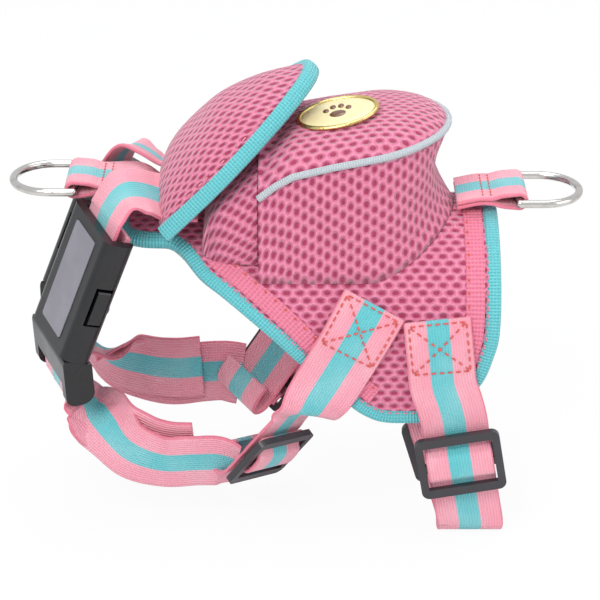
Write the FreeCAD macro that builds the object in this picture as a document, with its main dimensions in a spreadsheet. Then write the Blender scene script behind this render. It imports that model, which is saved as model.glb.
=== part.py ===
import FreeCAD, Part
import math
import os

# A small-dog walking harness: a mesh saddle that arches over the back, a soft bag
# sewn on top of it, two D-rings on the ridge, and on each side a loop round the
# front leg (neck strap, side-release buckle, chest strap, shoulder strap) and a
# girth strap that runs under the belly.
# +X points to the tail, +Z up, and the mirror plane is y = 0. The origin lies on the
# dog's back, at the top of the saddle's underside. Millimetres.

SIZES = {
    # saddle
    "saddle_radius": 42.0,       # outer radius of the arch
    "saddle_thick": 4.0,         # mesh and lining together
    "lining_thick": 1.0,
    "layer_gap": 0.1,            # air between two sewn layers
    "saddle_front": -69.0,
    "saddle_rear": 73.5,
    "tongue_half": 23.0,         # half width of the neck tongue
    "hem_drop": 69.0,            # lowest point of the hem under the ridge
    "binding_width": 5.5,
    "binding_proud": 0.4,        # binding stands out of the mesh on both faces
    # bag
    "bag_front": -38.0,
    "bag_rear": 55.0,
    "bag_half": 32.5,
    "bag_wall": 3.0,
    "pillow_tuck": 1.5,          # the front pillow is this much narrower on each side
    "bag_seam_front": -15.0,     # where the front pillow meets the side wall
    "rim_low": 20.5,             # rim height at the seam
    "rim_slope": 0.26,
    "crown": 8.0,
    "piping_radius": 1.25,
    "flange_width": 3.0,
    "flange_thick": 1.0,
    # flap
    "flap_foot_x": -48.0,
    "flap_foot_z": 2.5,
    "flap_tilt": 43.6,
    "flap_length": 76.0,
    "flap_half": 35.2,
    "flap_rise": 18.3,
    "flap_thick": 4.0,
    "flap_hinge_z": 16.5,
    "flap_fold_gap": 0.5,        # slit at the fold between flap and its sewn corners
    # webbing
    "webbing_width": 25.0,
    "webbing_thick": 1.5,
    "fit_gap": 0.3,              # air between pieces that move apart
    # D-rings
    "ring_wire": 1.5,            # wire radius
    "ring_leg": 9.0,
    "ring_clear": 0.4,
    "front_ring_bar": -84.0,
    "front_ring_height": 13.0,
    "rear_ring_bar": 81.5,
    "rear_ring_height": 8.3,
    "tab_length": 14.0,
    # side-release buckles
    "buckle_width": 35.0,
    "buckle_thick": 12.0,
    "buckle_wall": 2.2,
    "socket_length": 50.0,
    "socket_top": 35.0,
    "buckle_x": -84.0,
    "buckle_y": 27.5,
    "buckle_z": -26.5,
    "buckle_lean": 21.1,
    "buckle_yaw": 27.0,
    "plug_bend": 25.0,
    "plug_base": 20.0,
    "plug_seam": 0.4,
    "plug_clear": 0.25,
    "plate_width": 18.0,
    "plate_length": 41.0,
    "plate_thick": 0.8,
    "bar_radius": 1.7,
    "plate_drop": 4.0,           # the face plate starts below the top
    "corner_radius": 4.2,
    "strap_bar_back": 2.1,       # the socket's strap bar lies behind its mid plane
    "strap_bar_drop": 4.6,       # and below its top
    "plug_bar_rise": 4.5,        # the plug's strap bar above its foot
    "window_low": 1.0,
    "window_high": 17.0,
    "prong_thick": 2.6,
    "guide_width": 5.0,
    # ladder sliders
    "slider_rail": 3.0,
    "slider_thick": 2.6,
    "slider_length": 24.6,
    # emblem
    "emblem_long": 15.0,         # half length
    "emblem_short": 10.0,
    "emblem_thick": 1.2,
    "emblem_rim": 0.9,
    "emblem_x": 14.0,
    "emblem_y": -7.0,
}

V = FreeCAD.Vector
X, Y, Z = V(1, 0, 0), V(0, 1, 0), V(0, 0, 1)
SIDES = {"near": -1, "far": 1}

doc = FreeCAD.newDocument("harness")
sheet = doc.addObject("Spreadsheet::Sheet", "Sizes")
for row, (alias, value) in enumerate(SIZES.items(), 1):
    sheet.set(f"A{row}", alias)
    sheet.set(f"B{row}", str(value))
    sheet.setAlias(f"B{row}", alias)
doc.recompute()

subparts = []


def size(alias):
    """The value that the sheet holds under this alias."""
    return float(sheet.get(alias))


def keep(obj, label, placement=None):
    """Take a finished object as a sub-part: its label is its file's name."""
    obj.Label = label
    if placement is not None:
        obj.Placement = placement
    subparts.append(obj)
    return obj


def soft(label, shape):
    """A sewn piece whose shape comes from the sheet through Part's functions."""
    obj = doc.addObject("Part::Feature", label)
    obj.Shape = shape
    return keep(obj, label)


def bound(kind, name, place=None, **sizes):
    """A Part primitive whose sizes are expressions on the sheet."""
    obj = doc.addObject(kind, name)
    for prop, expression in sizes.items():
        obj.setExpression(prop, expression)
    obj.Placement = place or FreeCAD.Placement()
    return obj


def block(name, low, high):
    """A Part::Box between two corners, each given as three expressions on the sheet."""
    obj = doc.addObject("Part::Box", name)
    for prop, a, b in zip(("Length", "Width", "Height"), low, high):
        obj.setExpression(prop, f"({b}) - ({a})")
    for axis, a in zip("xyz", low):
        obj.setExpression(f"Placement.Base.{axis}", a)
    return obj


def fuse(name, parts):
    obj = doc.addObject("Part::MultiFuse", name)
    obj.Shapes = parts
    return obj


def cut(name, base, tool):
    obj = doc.addObject("Part::Cut", name)
    obj.Base = base
    obj.Tool = tool
    return obj


def rounded(name, base, radius, along):
    """Part::Fillet on the straight edges of a fresh box that run along some axes."""
    doc.recompute()
    obj = doc.addObject("Part::Fillet", name)
    obj.Base = base
    edges = []
    for number, edge in enumerate(base.Shape.Edges, 1):
        run = edge.tangentAt(edge.FirstParameter)
        if any(abs(run.dot(axis)) > 0.99 for axis in along):
            edges.append((number, radius, radius))
    obj.Edges = edges
    return obj


def frame(origin, x_axis, z_axis):
    """A placement with its own x and z axes; y completes the right-handed set."""
    y_axis = z_axis.cross(x_axis)
    rows = zip(x_axis, y_axis, z_axis, origin)
    numbers = [n for row in rows for n in row] + [0, 0, 0, 1]
    return FreeCAD.Placement(FreeCAD.Matrix(*numbers))


def unit(v):
    return V(v) / V(v).Length


def both_sides(label, shape):
    """A strap and its mirror image across the plane y = 0."""
    soft(f"near_{label}", shape)
    soft(f"far_{label}", shape.mirror(V(), Y))


# ---------------------------------------------------------------- webbing

def strap_rings(stations, width, thick):
    """The strap's four corners at each station of (point, width hint)."""
    points = [V(p) for p, _ in stations]
    rings = []
    for k, (_, hint) in enumerate(stations):
        run = unit(points[min(k + 1, len(points) - 1)] - points[max(k - 1, 0)])
        side = unit(V(hint) - run * run.dot(V(hint)))
        out = run.cross(side)
        corners = ((-1, -1), (1, -1), (1, 1), (-1, 1))
        rings.append([
            points[k] + side * (a * width / 2) + out * (b * thick / 2) for a, b in corners
        ])
    return rings


def ribbon(stations, width, thick):
    """A flat strap: a loft through rectangles across its stations."""
    rings = strap_rings(stations, width, thick)
    return Part.makeLoft([Part.makePolygon(ring + ring[:1]) for ring in rings], True, True)


def twisted_ribbon(stations, width, thick):
    """A strap that turns as it runs: flat triangles between its stations."""
    rings = strap_rings(stations, width, thick)
    triangles = []
    for low, high in zip(rings, rings[1:]):
        for k in range(4):
            a, b = low[k], low[(k + 1) % 4]
            c, d = high[(k + 1) % 4], high[k]
            triangles += [(a, b, c), (a, c, d)]
    for ring in (rings[0][::-1], rings[-1]):
        triangles += [(ring[0], ring[1], ring[2]), (ring[0], ring[2], ring[3])]
    faces = [Part.Face(Part.makePolygon([a, b, c, a])) for a, b, c in triangles]
    shell = Part.makeShell(faces)
    shell.sewShape()
    return Part.makeSolid(shell)


def on_saddle(x, arc, lift, side):
    """The point at a distance along the arch from the ridge, lifted off its face."""
    radius = size("saddle_radius")
    crown = size("saddle_thick") - radius
    quarter = radius * math.pi / 2
    reach = radius + lift
    if arc <= quarter:
        turn = arc / radius
        return V(x, side * reach * math.sin(turn), crown + reach * math.cos(turn))
    return V(x, side * reach, crown - (arc - quarter))


# ---------------------------------------------------------------- saddle

def arch(inner, outer, drop):
    """An arched shell along the whole saddle: a half tube on two straight walls."""
    axis_z = size("saddle_thick") - size("saddle_radius")
    start = V(size("saddle_front") - 10, 0, axis_z)
    length = size("saddle_rear") - size("saddle_front") + 20
    solids = []
    for radius in (outer, inner):
        tube = Part.makeCylinder(radius, length, start, X)
        wall = Part.makeBox(length, 2 * radius, drop, start + V(0, -radius, -drop))
        solids.append(tube.fuse(wall))
    shell = solids[0].cut(solids[1])
    return shell.removeSplitter()


def prism(points, half):
    """A closed outline in the x-z plane, extruded across the whole width."""
    wire = Part.makePolygon([V(x, -half, z) for x, z in points + points[:1]])
    return Part.Face(wire).extrude(V(0, 2 * half, 0))


def saddle_outline(inset):
    """The saddle's side view: neck tongue, slanting front edge, rounded hem, tail."""
    front, rear = size("saddle_front"), size("saddle_rear")
    hem = -size("hem_drop")
    low = size("saddle_thick") - size("saddle_radius")
    low += math.sqrt(size("saddle_radius") ** 2 - size("tongue_half") ** 2)
    above = 40
    points = [
        V(rear, 0, above), V(rear, 0, hem + 42), V(rear - 2.5, 0, hem + 26),
        V(rear - 7, 0, hem + 15), V(rear - 16, 0, hem + 6), V(rear - 28, 0, hem),
        V(rear - 45, 0, hem + 1), V(rear - 54, 0, hem + 6.5), V(rear - 73, 0, hem + 24),
        V(rear - 85, 0, hem + 36), V(rear - 101, 0, hem + 49.5),
        V(rear - 110, 0, hem + 56), V(rear - 117, 0, hem + 63),
        V(rear - 123, 0, low), V(front, 0, low), V(front, 0, above),
    ]
    wire = Part.makePolygon(points + points[:1])
    if inset:
        wire = wire.makeOffset2D(-inset, 2)
    return Part.Face(wire)


def saddle_region(inset):
    """The block of space inside the outline, with the tongue's inset taken sideways."""
    half = size("saddle_radius") + 10
    region = saddle_outline(inset)
    region.translate(V(0, -half, 0))
    region = region.extrude(V(0, 2 * half, 0))
    if inset:
        front = size("saddle_front") + inset
        wide = size("tongue_half") - inset
        tongue = Part.makeBox(40, 2 * wide, 50, V(front, -wide, -20))
        region = region.fuse(tongue)
    return region


def saddle():
    outer = size("saddle_radius")
    inner = outer - size("saddle_thick")
    proud, gap = size("binding_proud"), size("layer_gap")
    edge = size("binding_width")
    drop = size("hem_drop")
    inside = saddle_region(edge + gap)
    middle = inner + size("lining_thick")
    soft("saddle_mesh", arch(middle + gap, outer, drop).common(inside))
    soft("saddle_lining", arch(inner, middle, drop).common(inside))
    band = arch(inner - proud, outer + proud, drop).common(saddle_region(0))
    soft("saddle_binding", band.cut(saddle_region(edge)))


# ---------------------------------------------------------------- bag

def bag_outline(inset, front, height):
    """The bag seen from above: straight sides that close in a round rear."""
    half = size("bag_half") - inset
    rear = size("bag_rear") - inset
    shoulder = rear - half
    lines = [
        Part.LineSegment(V(front, -half, height), V(shoulder, -half, height)),
        Part.Arc(
            V(shoulder, -half, height),
            V(rear, 0, height),
            V(shoulder, half, height),
        ),
        Part.LineSegment(V(shoulder, half, height), V(front, half, height)),
        Part.LineSegment(V(front, half, height), V(front, -half, height)),
    ]
    return Part.Wire([line.toShape() for line in lines])


def bag_column(inset, front):
    return Part.Face(bag_outline(inset, front, -40)).extrude(V(0, 0, 120))


def rim_height(x):
    return size("rim_low") + size("rim_slope") * (x - size("bag_seam_front"))


def under_rim(drop):
    """All the space below the bag's sloping rim, less a drop."""
    low, high = size("bag_front") - 20, size("bag_rear") + 20
    points = [
        (low, -60), (high, -60),
        (high, rim_height(high) - drop), (low, rim_height(low) - drop),
    ]
    return prism(points, 60)


def over_saddle(lift):
    """The saddle's arch as a solid bar, to be cut out of what sits on it."""
    radius = size("saddle_radius") + lift
    start = V(-120, 0, size("saddle_thick") - size("saddle_radius"))
    tube = Part.makeCylinder(radius, 260, start, X)
    return tube.fuse(Part.makeBox(260, 2 * radius, 60, start - V(0, radius, 60)))


def bag():
    wall, gap = size("bag_wall"), size("layer_gap")
    front, seam = size("bag_front"), size("bag_seam_front")
    piping = size("piping_radius")
    proud = size("binding_proud") + gap
    body = over_saddle(proud)
    base = over_saddle(proud + size("flange_thick") + gap)

    ring = bag_column(0, front).cut(bag_column(wall, front + wall))
    ring = ring.common(under_rim(piping + gap)).cut(base)
    tuck = size("pillow_tuck")
    pillow = bag_column(tuck, front).cut(bag_column(tuck + wall, front + wall))
    pillow = pillow.common(under_rim(piping + gap)).cut(base)
    front_box = Part.makeBox(seam - front + 40, 200, 200, V(front - 40, -100, -100))
    back_box = Part.makeBox(200, 200, 200, V(seam + gap, -100, -100))
    soft("bag_side_wall", ring.common(back_box))
    soft("bag_front_wall", pillow.common(front_box))

    flange = bag_column(-size("flange_width"), front).cut(bag_column(wall, front + wall))
    flange = flange.common(over_saddle(proud + size("flange_thick"))).cut(body)
    soft("bag_base_flange", flange)

    rim = size("rim_slope")
    lean = FreeCAD.Rotation(Y, -math.degrees(math.atan(rim)))
    start = seam + gap
    low = V(start, 0, rim_height(start))
    stretch = math.hypot(1, rim)

    def cover(inset, up):
        """The rim's outline on its sloping plane, raised square to that plane."""
        half = size("bag_half") - inset
        rear = (size("bag_rear") - inset - start) * stretch
        shoulder = rear - half
        lines = [
            Part.LineSegment(V(inset, -half, up), V(shoulder, -half, up)),
            Part.Arc(V(shoulder, -half, up), V(rear, 0, up), V(shoulder, half, up)),
            Part.LineSegment(V(shoulder, half, up), V(inset, half, up)),
            Part.LineSegment(V(inset, half, up), V(inset, -half, up)),
        ]
        wire = Part.Wire([line.toShape() for line in lines])
        wire.Placement = FreeCAD.Placement(low, lean)
        return wire

    crown = size("crown")
    lift = piping + gap
    levels = [(2 * piping, lift), (5, lift + crown * 0.5), (14, lift + crown * 0.9)]
    top = Part.makeLoft([cover(a, b) for a, b in levels], True, True)
    soft("bag_top_panel", top)

    path = cover(piping, 0)
    edges = path.Edges[:3]
    spine = Part.Wire(edges)
    section = Part.Wire(Part.makeCircle(piping, edges[0].Vertexes[0].Point, spine.Edges[0].tangentAt(0)))
    soft("bag_piping", spine.makePipeShell([section], True, False))


# ---------------------------------------------------------------- flap

def flap_stations():
    """(share of the length, share of the half width, share of the rise)."""
    return [
        (0.00, 1.000, 0.42), (0.085, 1.000, 0.70), (0.19, 0.985, 0.88),
        (0.37, 0.930, 1.00), (0.56, 0.790, 0.99), (0.75, 0.590, 0.72),
        (0.89, 0.390, 0.46), (1.00, 0.160, 0.27),
    ]


def dome(inset, rows):
    """The flap's hood: crescents along a tilted plane, from the foot to the tip."""
    tilt = math.radians(size("flap_tilt"))
    foot = V(size("flap_foot_x"), 0, size("flap_foot_z"))
    along = V(math.cos(tilt), 0, math.sin(tilt))
    up = V(-math.sin(tilt), 0, math.cos(tilt))
    thick = size("flap_thick")
    wires = []
    for share, wide, rise in rows:
        origin = foot + along * (share * size("flap_length"))
        half = size("flap_half") * wide - inset
        high = max(size("flap_rise") * rise, thick + 0.4)
        outer = [origin - Y * half, origin + up * high, origin + Y * half]
        half -= thick
        high -= thick
        inner = [origin + Y * half, origin + up * high, origin - Y * half]
        wires.append(Part.Wire([
            Part.Arc(*outer).toShape(),
            Part.LineSegment(outer[2], inner[0]).toShape(),
            Part.Arc(*inner).toShape(),
            Part.LineSegment(inner[2], outer[0]).toShape(),
        ]))
    return Part.makeLoft(wires, True, True)


def flap():
    shell = dome(0, flap_stations())
    fold, gap = size("flap_hinge_z"), size("flap_fold_gap")
    above = Part.makeBox(200, 200, 200, V(-100, -100, fold + gap))
    below = Part.makeBox(200, 200, 200, V(-100, -100, fold - 200))
    soft("flap_shell", shell.common(above))
    reach = size("bag_half") - size("pillow_tuck") + size("fit_gap")
    straps = Part.makeBox(200, 2 * reach, 200, V(-100, -reach, -100))
    lift = size("binding_proud") + size("fit_gap")
    soft("flap_root", shell.common(below).cut(over_saddle(lift)).cut(straps))


# ---------------------------------------------------------------- emblem

def emblem():
    """A flat oval badge that rests on the bag's crowned top."""
    x, y = size("emblem_x"), size("emblem_y")
    rim = size("rim_slope")
    lift = size("piping_radius") + size("layer_gap") + size("crown") * 0.9
    base = V(x, y, rim_height(x) + lift / math.cos(math.atan(rim)) + 0.15)
    lean = FreeCAD.Rotation(Y, -math.degrees(math.atan(rim)))
    place = FreeCAD.Placement(base, lean)
    long, short = size("emblem_long"), size("emblem_short")
    edge, thick = size("emblem_rim"), size("emblem_thick")

    def oval(a, b, thickness):
        wire = Part.Wire(Part.Ellipse(V(0, 0, 0), a, b).toShape())
        return Part.Face(wire).extrude(V(0, 0, thickness))

    plate = oval(long - edge - 0.05, short - edge - 0.05, thick * 0.7)
    ring = oval(long, short, thick).cut(oval(long - edge, short - edge, thick))
    for label, shape in (("emblem_plate", plate), ("emblem_rim", ring)):
        shape.Placement = place
        soft(label, shape)


# ---------------------------------------------------------------- D-rings

def d_ring(label, place):
    """Bent wire: a bar across, two short legs and a half turn. It points along +x."""
    half = "(Sizes.webbing_width / 2 + Sizes.ring_clear + Sizes.ring_wire)"
    wire = "Sizes.ring_wire"
    across = FreeCAD.Rotation(X, -90)
    forward = FreeCAD.Rotation(Y, 90)
    bar = bound("Part::Cylinder", f"{label}_bar", FreeCAD.Placement(V(), across),
                Radius=wire, Height=f"2 * {half}")
    bar.setExpression("Placement.Base.y", f"-{half}")
    pieces = [bar]
    for sign in ("-", ""):
        leg = bound("Part::Cylinder", f"{label}_leg", FreeCAD.Placement(V(), forward),
                    Radius=wire, Height="Sizes.ring_leg")
        leg.setExpression("Placement.Base.y", f"{sign}{half}")
        knee = bound("Part::Sphere", f"{label}_knee", Radius=wire)
        knee.setExpression("Placement.Base.y", f"{sign}{half}")
        pieces += [leg, knee]
    turn = FreeCAD.Placement(V(), FreeCAD.Rotation(Z, -90))
    arc = bound("Part::Torus", f"{label}_turn", turn, Radius1=half, Radius2=wire)
    arc.Angle3 = 180
    arc.setExpression("Placement.Base.x", "Sizes.ring_leg")
    pieces.append(arc)
    keep(fuse(label, pieces), label, place)


def ring_tab(label, bar, height, toward, level, tail, drop):
    """A webbing loop sewn round the ring's bar: a pinched eye, then two layers flat."""
    thick, wire = size("webbing_thick"), size("ring_wire")
    eye = wire + size("ring_clear")
    outer = eye + thick
    length, width = size("tab_length"), size("webbing_width")
    half = thick + size("layer_gap")
    end = bar + toward * tail
    pinch = bar + toward * length

    def at(x, z):
        return V(x, -width / 2, z + height)

    def path(points, radius):
        top, bottom = at(bar, radius), at(bar, -radius)
        arc = Part.Arc(top, at(bar - toward * radius, 0), bottom).toShape()
        rest = [bottom] + points + [top]
        return Part.Wire([arc] + [
            Part.LineSegment(a, b).toShape() for a, b in zip(rest, rest[1:])
        ])

    bend = bar + toward * level
    skin = path([at(pinch, -half), at(bend, -half), at(end, -half - drop),
                 at(end, half - drop), at(bend, half), at(pinch, half)], outer)
    hole = path([at(pinch - toward * 0.5, -0.05), at(pinch - toward * 0.5, 0.05)], eye)
    body = Part.Face(skin).extrude(V(0, width, 0))
    soft(label, body.cut(Part.Face(hole).extrude(V(0, width, 0))))


def rings():
    front, rear = size("front_ring_bar"), size("rear_ring_bar")
    front_z, rear_z = size("front_ring_height"), size("rear_ring_height")
    back = FreeCAD.Rotation(Z, 180)
    d_ring("front_d_ring", FreeCAD.Placement(V(front, 0, front_z), back))
    d_ring("rear_d_ring", FreeCAD.Placement(V(rear, 0, rear_z), FreeCAD.Rotation()))
    seat = size("saddle_thick") + size("binding_proud") + size("webbing_thick")
    seat += size("fit_gap") + size("layer_gap")
    ring_tab("front_ring_tab", front, front_z, 1, 15, 23, front_z - seat)
    ring_tab("rear_ring_tab", rear, rear_z, -1, 15, 23, rear_z - seat)


# ---------------------------------------------------------------- buckles

def buckle_axes(side):
    """The buckle's up axis leans back, and its face turns out to its own side."""
    lean, yaw = math.radians(size("buckle_lean")), math.radians(size("buckle_yaw"))
    up = V(math.sin(lean), 0, math.cos(lean))
    ahead = V(-math.cos(lean), 0, math.sin(lean))
    face = ahead * math.cos(yaw) + Y * (side * math.sin(yaw))
    return up, unit(face)


def buckle_place(side):
    up, face = buckle_axes(side)
    origin = V(size("buckle_x"), side * size("buckle_y"), size("buckle_z"))
    across = (face * -1).cross(up)
    return frame(origin, across, up)


def in_buckle(side, x, y, z):
    return buckle_place(side).multVec(V(x, y, z))


def buckle_across(side):
    """The buckle's width axis, pointing away from the mirror plane."""
    across = in_buckle(side, 1, 0, 0) - in_buckle(side, 0, 0, 0)
    return across if across.y * side > 0 else across * -1


def socket(name, place):
    """Female half: a rounded sleeve with side windows, a mouth and a strap bar."""
    s = "Sizes."
    half, deep = f"{s}buckle_width / 2", f"{s}buckle_thick / 2"
    low = f"{s}socket_top - {s}socket_length"
    wall = f"{s}buckle_wall"
    body = block(f"{name}_body", (f"-{half}", f"-{deep}", low),
                 (half, deep, f"{s}socket_top"))
    body = rounded(f"{name}_round", body, size("corner_radius"), (Z,))
    mouth = block(f"{name}_mouth", (f"-{half} + {wall}", f"-{deep} + {wall}", f"{low} - 1"),
                  (f"{half} - {wall}", f"{deep} - {wall}", f"{s}window_high + 3"))
    windows = block(f"{name}_windows", (f"-{half} - 1", f"-{deep} + {wall} + 0.3",
                                        f"{s}window_low"),
                    (f"{half} + 1", f"{deep} - {wall} - 0.3", f"{s}window_high"))
    strap = f"{s}webbing_width / 2 + 0.7"
    pocket = block(f"{name}_pocket", (f"-({strap})", "-2.2", f"{s}socket_top - 9.5"),
                   (strap, f"{deep} + 1", f"{s}socket_top + 1"))
    seat = f"{s}plate_width / 2 + 0.1"
    recess = block(f"{name}_recess", (f"-({seat})", f"-{deep} - 1",
                                      f"{s}socket_top - {s}plate_drop - {s}plate_length - 0.1"),
                   (seat, f"-{deep} + 0.5", f"{s}socket_top - {s}plate_drop + 0.1"))
    hollow = cut(f"{name}_shell", body,
                 fuse(f"{name}_voids", [mouth, windows, pocket, recess]))
    bar = bound("Part::Cylinder", f"{name}_strap_bar",
                FreeCAD.Placement(V(), FreeCAD.Rotation(Y, 90)),
                Radius=f"{s}bar_radius", Height=f"{s}webbing_width + 3")
    bar.setExpression("Placement.Base.x", f"-({s}webbing_width + 3) / 2")
    bar.setExpression("Placement.Base.y", f"{s}strap_bar_back")
    bar.setExpression("Placement.Base.z", f"{s}socket_top - {s}strap_bar_drop")
    keep(fuse(name, [hollow, bar]), name, place)


def face_plate(name, place):
    """A thin satin plate let into the front of the socket."""
    s = "Sizes."
    top = f"{s}socket_top - {s}plate_drop"
    plate = block(f"{name}_blank", (f"-{s}plate_width / 2", f"-{s}buckle_thick / 2 - 0.3",
                                    f"{top} - {s}plate_length"),
                  (f"{s}plate_width / 2", f"-{s}buckle_thick / 2 - 0.3 + {s}plate_thick",
                   top))
    keep(rounded(name, plate, 1.2, (Y,)), name, place)


def bend_place(place):
    """The plug's base bends back from its seam with the socket."""
    seam = size("socket_top") - size("socket_length")
    turn = FreeCAD.Rotation(X, size("plug_bend"))
    return place.multiply(FreeCAD.Placement(V(0, 0, seam), turn))


def plug(name, place):
    """Male half: a bent base with a strap bar, and the neck that fills the mouth."""
    s = "Sizes."
    half, deep = f"{s}buckle_width / 2", f"{s}buckle_thick / 2"
    seam = f"{s}socket_top - {s}socket_length"
    wall, clear = f"{s}buckle_wall", f"{s}plug_clear"
    base = block(f"{name}_base", (f"-{half} + 0.6", f"-{deep} + 0.5", f"-{s}plug_base"),
                 (f"{half} - 0.6", f"{deep} - 0.3", "4"))
    base = rounded(f"{name}_round", base, 4.5, (X,))
    strap = f"{s}webbing_width / 2 + 0.7"
    pocket = block(f"{name}_pocket", (f"-({strap})", f"-{deep} - 1", f"-{s}plug_base - 1"),
                   (strap, f"{deep} + 1", f"-{s}plug_base + 10"))
    bar = bound("Part::Cylinder", f"{name}_bar",
                FreeCAD.Placement(V(0, 0, 0), FreeCAD.Rotation(Y, 90)),
                Radius=f"{s}bar_radius", Height=f"{s}webbing_width + 3")
    bar.setExpression("Placement.Base.x", f"-({s}webbing_width + 3) / 2")
    bar.setExpression("Placement.Base.z", f"-{s}plug_base + {s}plug_bar_rise")
    foot = fuse(f"{name}_foot", [cut(f"{name}_cheeks", base, pocket), bar])
    foot.Placement = FreeCAD.Placement(V(0, 0, size("socket_top") - size("socket_length")),
                                       FreeCAD.Rotation(X, size("plug_bend")))
    above = block(f"{name}_above", (f"-{half} - 5", f"-{deep} - 9", f"{seam} - {s}plug_seam"),
                  (f"{half} + 5", f"{deep} + 9", f"{seam} + 20"))
    foot = cut(f"{name}_trimmed", foot, above)
    neck = block(f"{name}_neck", (f"-{half} + {wall} + {clear}",
                                  f"-{deep} + {wall} + {clear}", f"{seam} - 3.4"),
                 (f"{half} - {wall} - {clear}", f"{deep} - {wall} - {clear}",
                  f"{seam} + 6"))
    guide = block(f"{name}_guide", (f"-{s}guide_width / 2", "-1.8", f"{seam} + 5"),
                  (f"{s}guide_width / 2", "1.8", f"{s}window_high - 1"))
    keep(fuse(name, [foot, neck, guide]), name, place)


def prong(name, hand, place):
    """A springy arm beside the guide, with the thumb pad that fills a side window."""
    s = "Sizes."
    half = f"{s}buckle_width / 2"
    seam = f"{s}socket_top - {s}socket_length"
    wall = f"{s}buckle_wall"
    root = f"{half} - {wall} - 3.2"
    inner = f"{root} - {s}prong_thick"
    pad_low, pad_high = f"{s}window_low + 0.6", f"{s}window_high - 1"

    def sides(a, b):
        return (f"-({b})", f"-({a})") if hand < 0 else (a, b)

    arm_x = sides(inner, root)
    pad_x = sides(inner, f"{half} + 0.7")
    arm = block(f"{name}_arm", (arm_x[0], "-2.1", f"{seam} + 6.1"),
                (arm_x[1], "2.1", pad_low))
    pad = block(f"{name}_pad", (pad_x[0], "-2.6", pad_low), (pad_x[1], "2.6", pad_high))
    keep(fuse(name, [arm, rounded(f"{name}_thumb", pad, 1.2, (Y,))]), name, place)


def buckles():
    for name, side in SIDES.items():
        place = buckle_place(side)
        socket(f"{name}_buckle_socket", place)
        face_plate(f"{name}_buckle_plate", place)
        plug(f"{name}_buckle_plug", place)
        for which, hand in (("outer", 1), ("inner", -1)):
            prong(f"{name}_{which}_prong", hand, place)


# ---------------------------------------------------------------- straps

def neck_strap():
    """Out from under the flap in a hump, down into the socket and round its bar."""
    width, thick, gap = size("webbing_width"), size("webbing_thick"), size("fit_gap")
    side = SIDES["near"]
    across = buckle_across(side)
    top = size("socket_top")
    bar_z, bar_y = top - size("strap_bar_drop"), size("strap_bar_back")
    turn = size("bar_radius") + gap + thick / 2
    level = V(0, side, -0.36)
    stations = [
        (V(-41.0, side * 14.0, 10.6), level),
        (V(-46.0, side * 14.8, 10.4), level + X * (-0.03)),
        (V(-52.0, side * 16.8, 11.6), level + X * 0.10),
        (V(-57.5, side * 19.6, 15.2), level + X * 0.22),
        (V(-62.5, side * 22.6, 17.0), level + X * 0.30),
        (V(-66.6, side * 25.0, 15.8), across + level * 0.3),
        (in_buckle(side, 0, bar_y - turn + 0.2, top + 5.0), across),
        (in_buckle(side, 0, bar_y - turn, top + 1.5), across),
    ]
    for step in range(7):
        angle = math.pi * step / 6
        y = bar_y - turn * math.cos(angle)
        z = bar_z - turn * math.sin(angle)
        stations.append((in_buckle(side, 0, y, z), across))
    stations.append((in_buckle(side, 0, bar_y + turn, top + 1.0), across))
    both_sides("neck_strap", ribbon(stations, width, thick))


def in_plug(side, y, z):
    """A point in the plane through the plug's bent base."""
    return bend_place(buckle_place(side)).multVec(V(0, y, z))


def smooth(rows, steps):
    """More rows between the given ones, on a cubic through each four in turn."""
    result = []
    for k in range(len(rows) - 1):
        p0, p1 = rows[max(k - 1, 0)], rows[k]
        p2, p3 = rows[k + 1], rows[min(k + 2, len(rows) - 1)]
        for step in range(steps):
            t = step / steps
            row = []
            for a, b, c, d in zip(p0, p1, p2, p3):
                bend = (2 * a - 5 * b + 4 * c - d) * t * t
                twist = (3 * b - a - 3 * c + d) * t * t * t
                row.append((2 * b + (c - a) * t + bend + twist) / 2)
            result.append(row)
    return result + [rows[-1]]


def chest_route(side):
    """Rows of point, width hint, half spread of the two layers, and hang of the outer."""
    bar = size("plug_bar_rise") - size("plug_base")
    layer = size("webbing_thick") / 2 + size("fit_gap")
    across = buckle_across(side)
    rows = []
    for rise in (8.2, 9.8):
        point = in_plug(side, 0, bar - rise)
        rows.append([*point, *across, 0.0, 0.0])
    spans = [
        (-81.5, 23.6, -68.6, 0.38, 0.80, -0.40, 0.3, 0.0),
        (-74.5, 28.0, -75.0, 0.28, 0.50, -0.80, 0.9, 0.1),
        (-65.0, 32.0, -80.0, 0.10, 0.05, -1.00, layer, 0.9),
        (-52.5, 34.0, -83.5, 0.00, -0.20, -0.97, layer, 1.0),
        (-40.0, 35.5, -83.5, 0.00, -0.25, -0.96, layer, 0.8),
        (-28.0, 36.5, -85.0, 0.05, -0.25, -0.96, layer, 0.4),
    ]
    for x, y, z, a, b, c, spread, hang in spans:
        rows.append([x, y * side, z, a, b * side, c, spread, hang])
    return smooth(rows, 2)


def chest_layer(rows, side, outer):
    """One layer of the strap: its rows moved along their own normals."""
    stations = []
    for k, row in enumerate(rows):
        after, before = rows[min(k + 1, len(rows) - 1)], rows[max(k - 1, 0)]
        run = unit(V(*after[:3]) - V(*before[:3]))
        hint = V(*row[3:6])
        normal = unit(run.cross(hint)) * (side * row[6])
        if outer:
            hang = V(0, side * 1.3, -4.5) * row[7]
            stations.append((V(*row[:3]) + normal + hang, hint))
        else:
            stations.append((V(*row[:3]) - normal, hint))
    return stations


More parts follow.
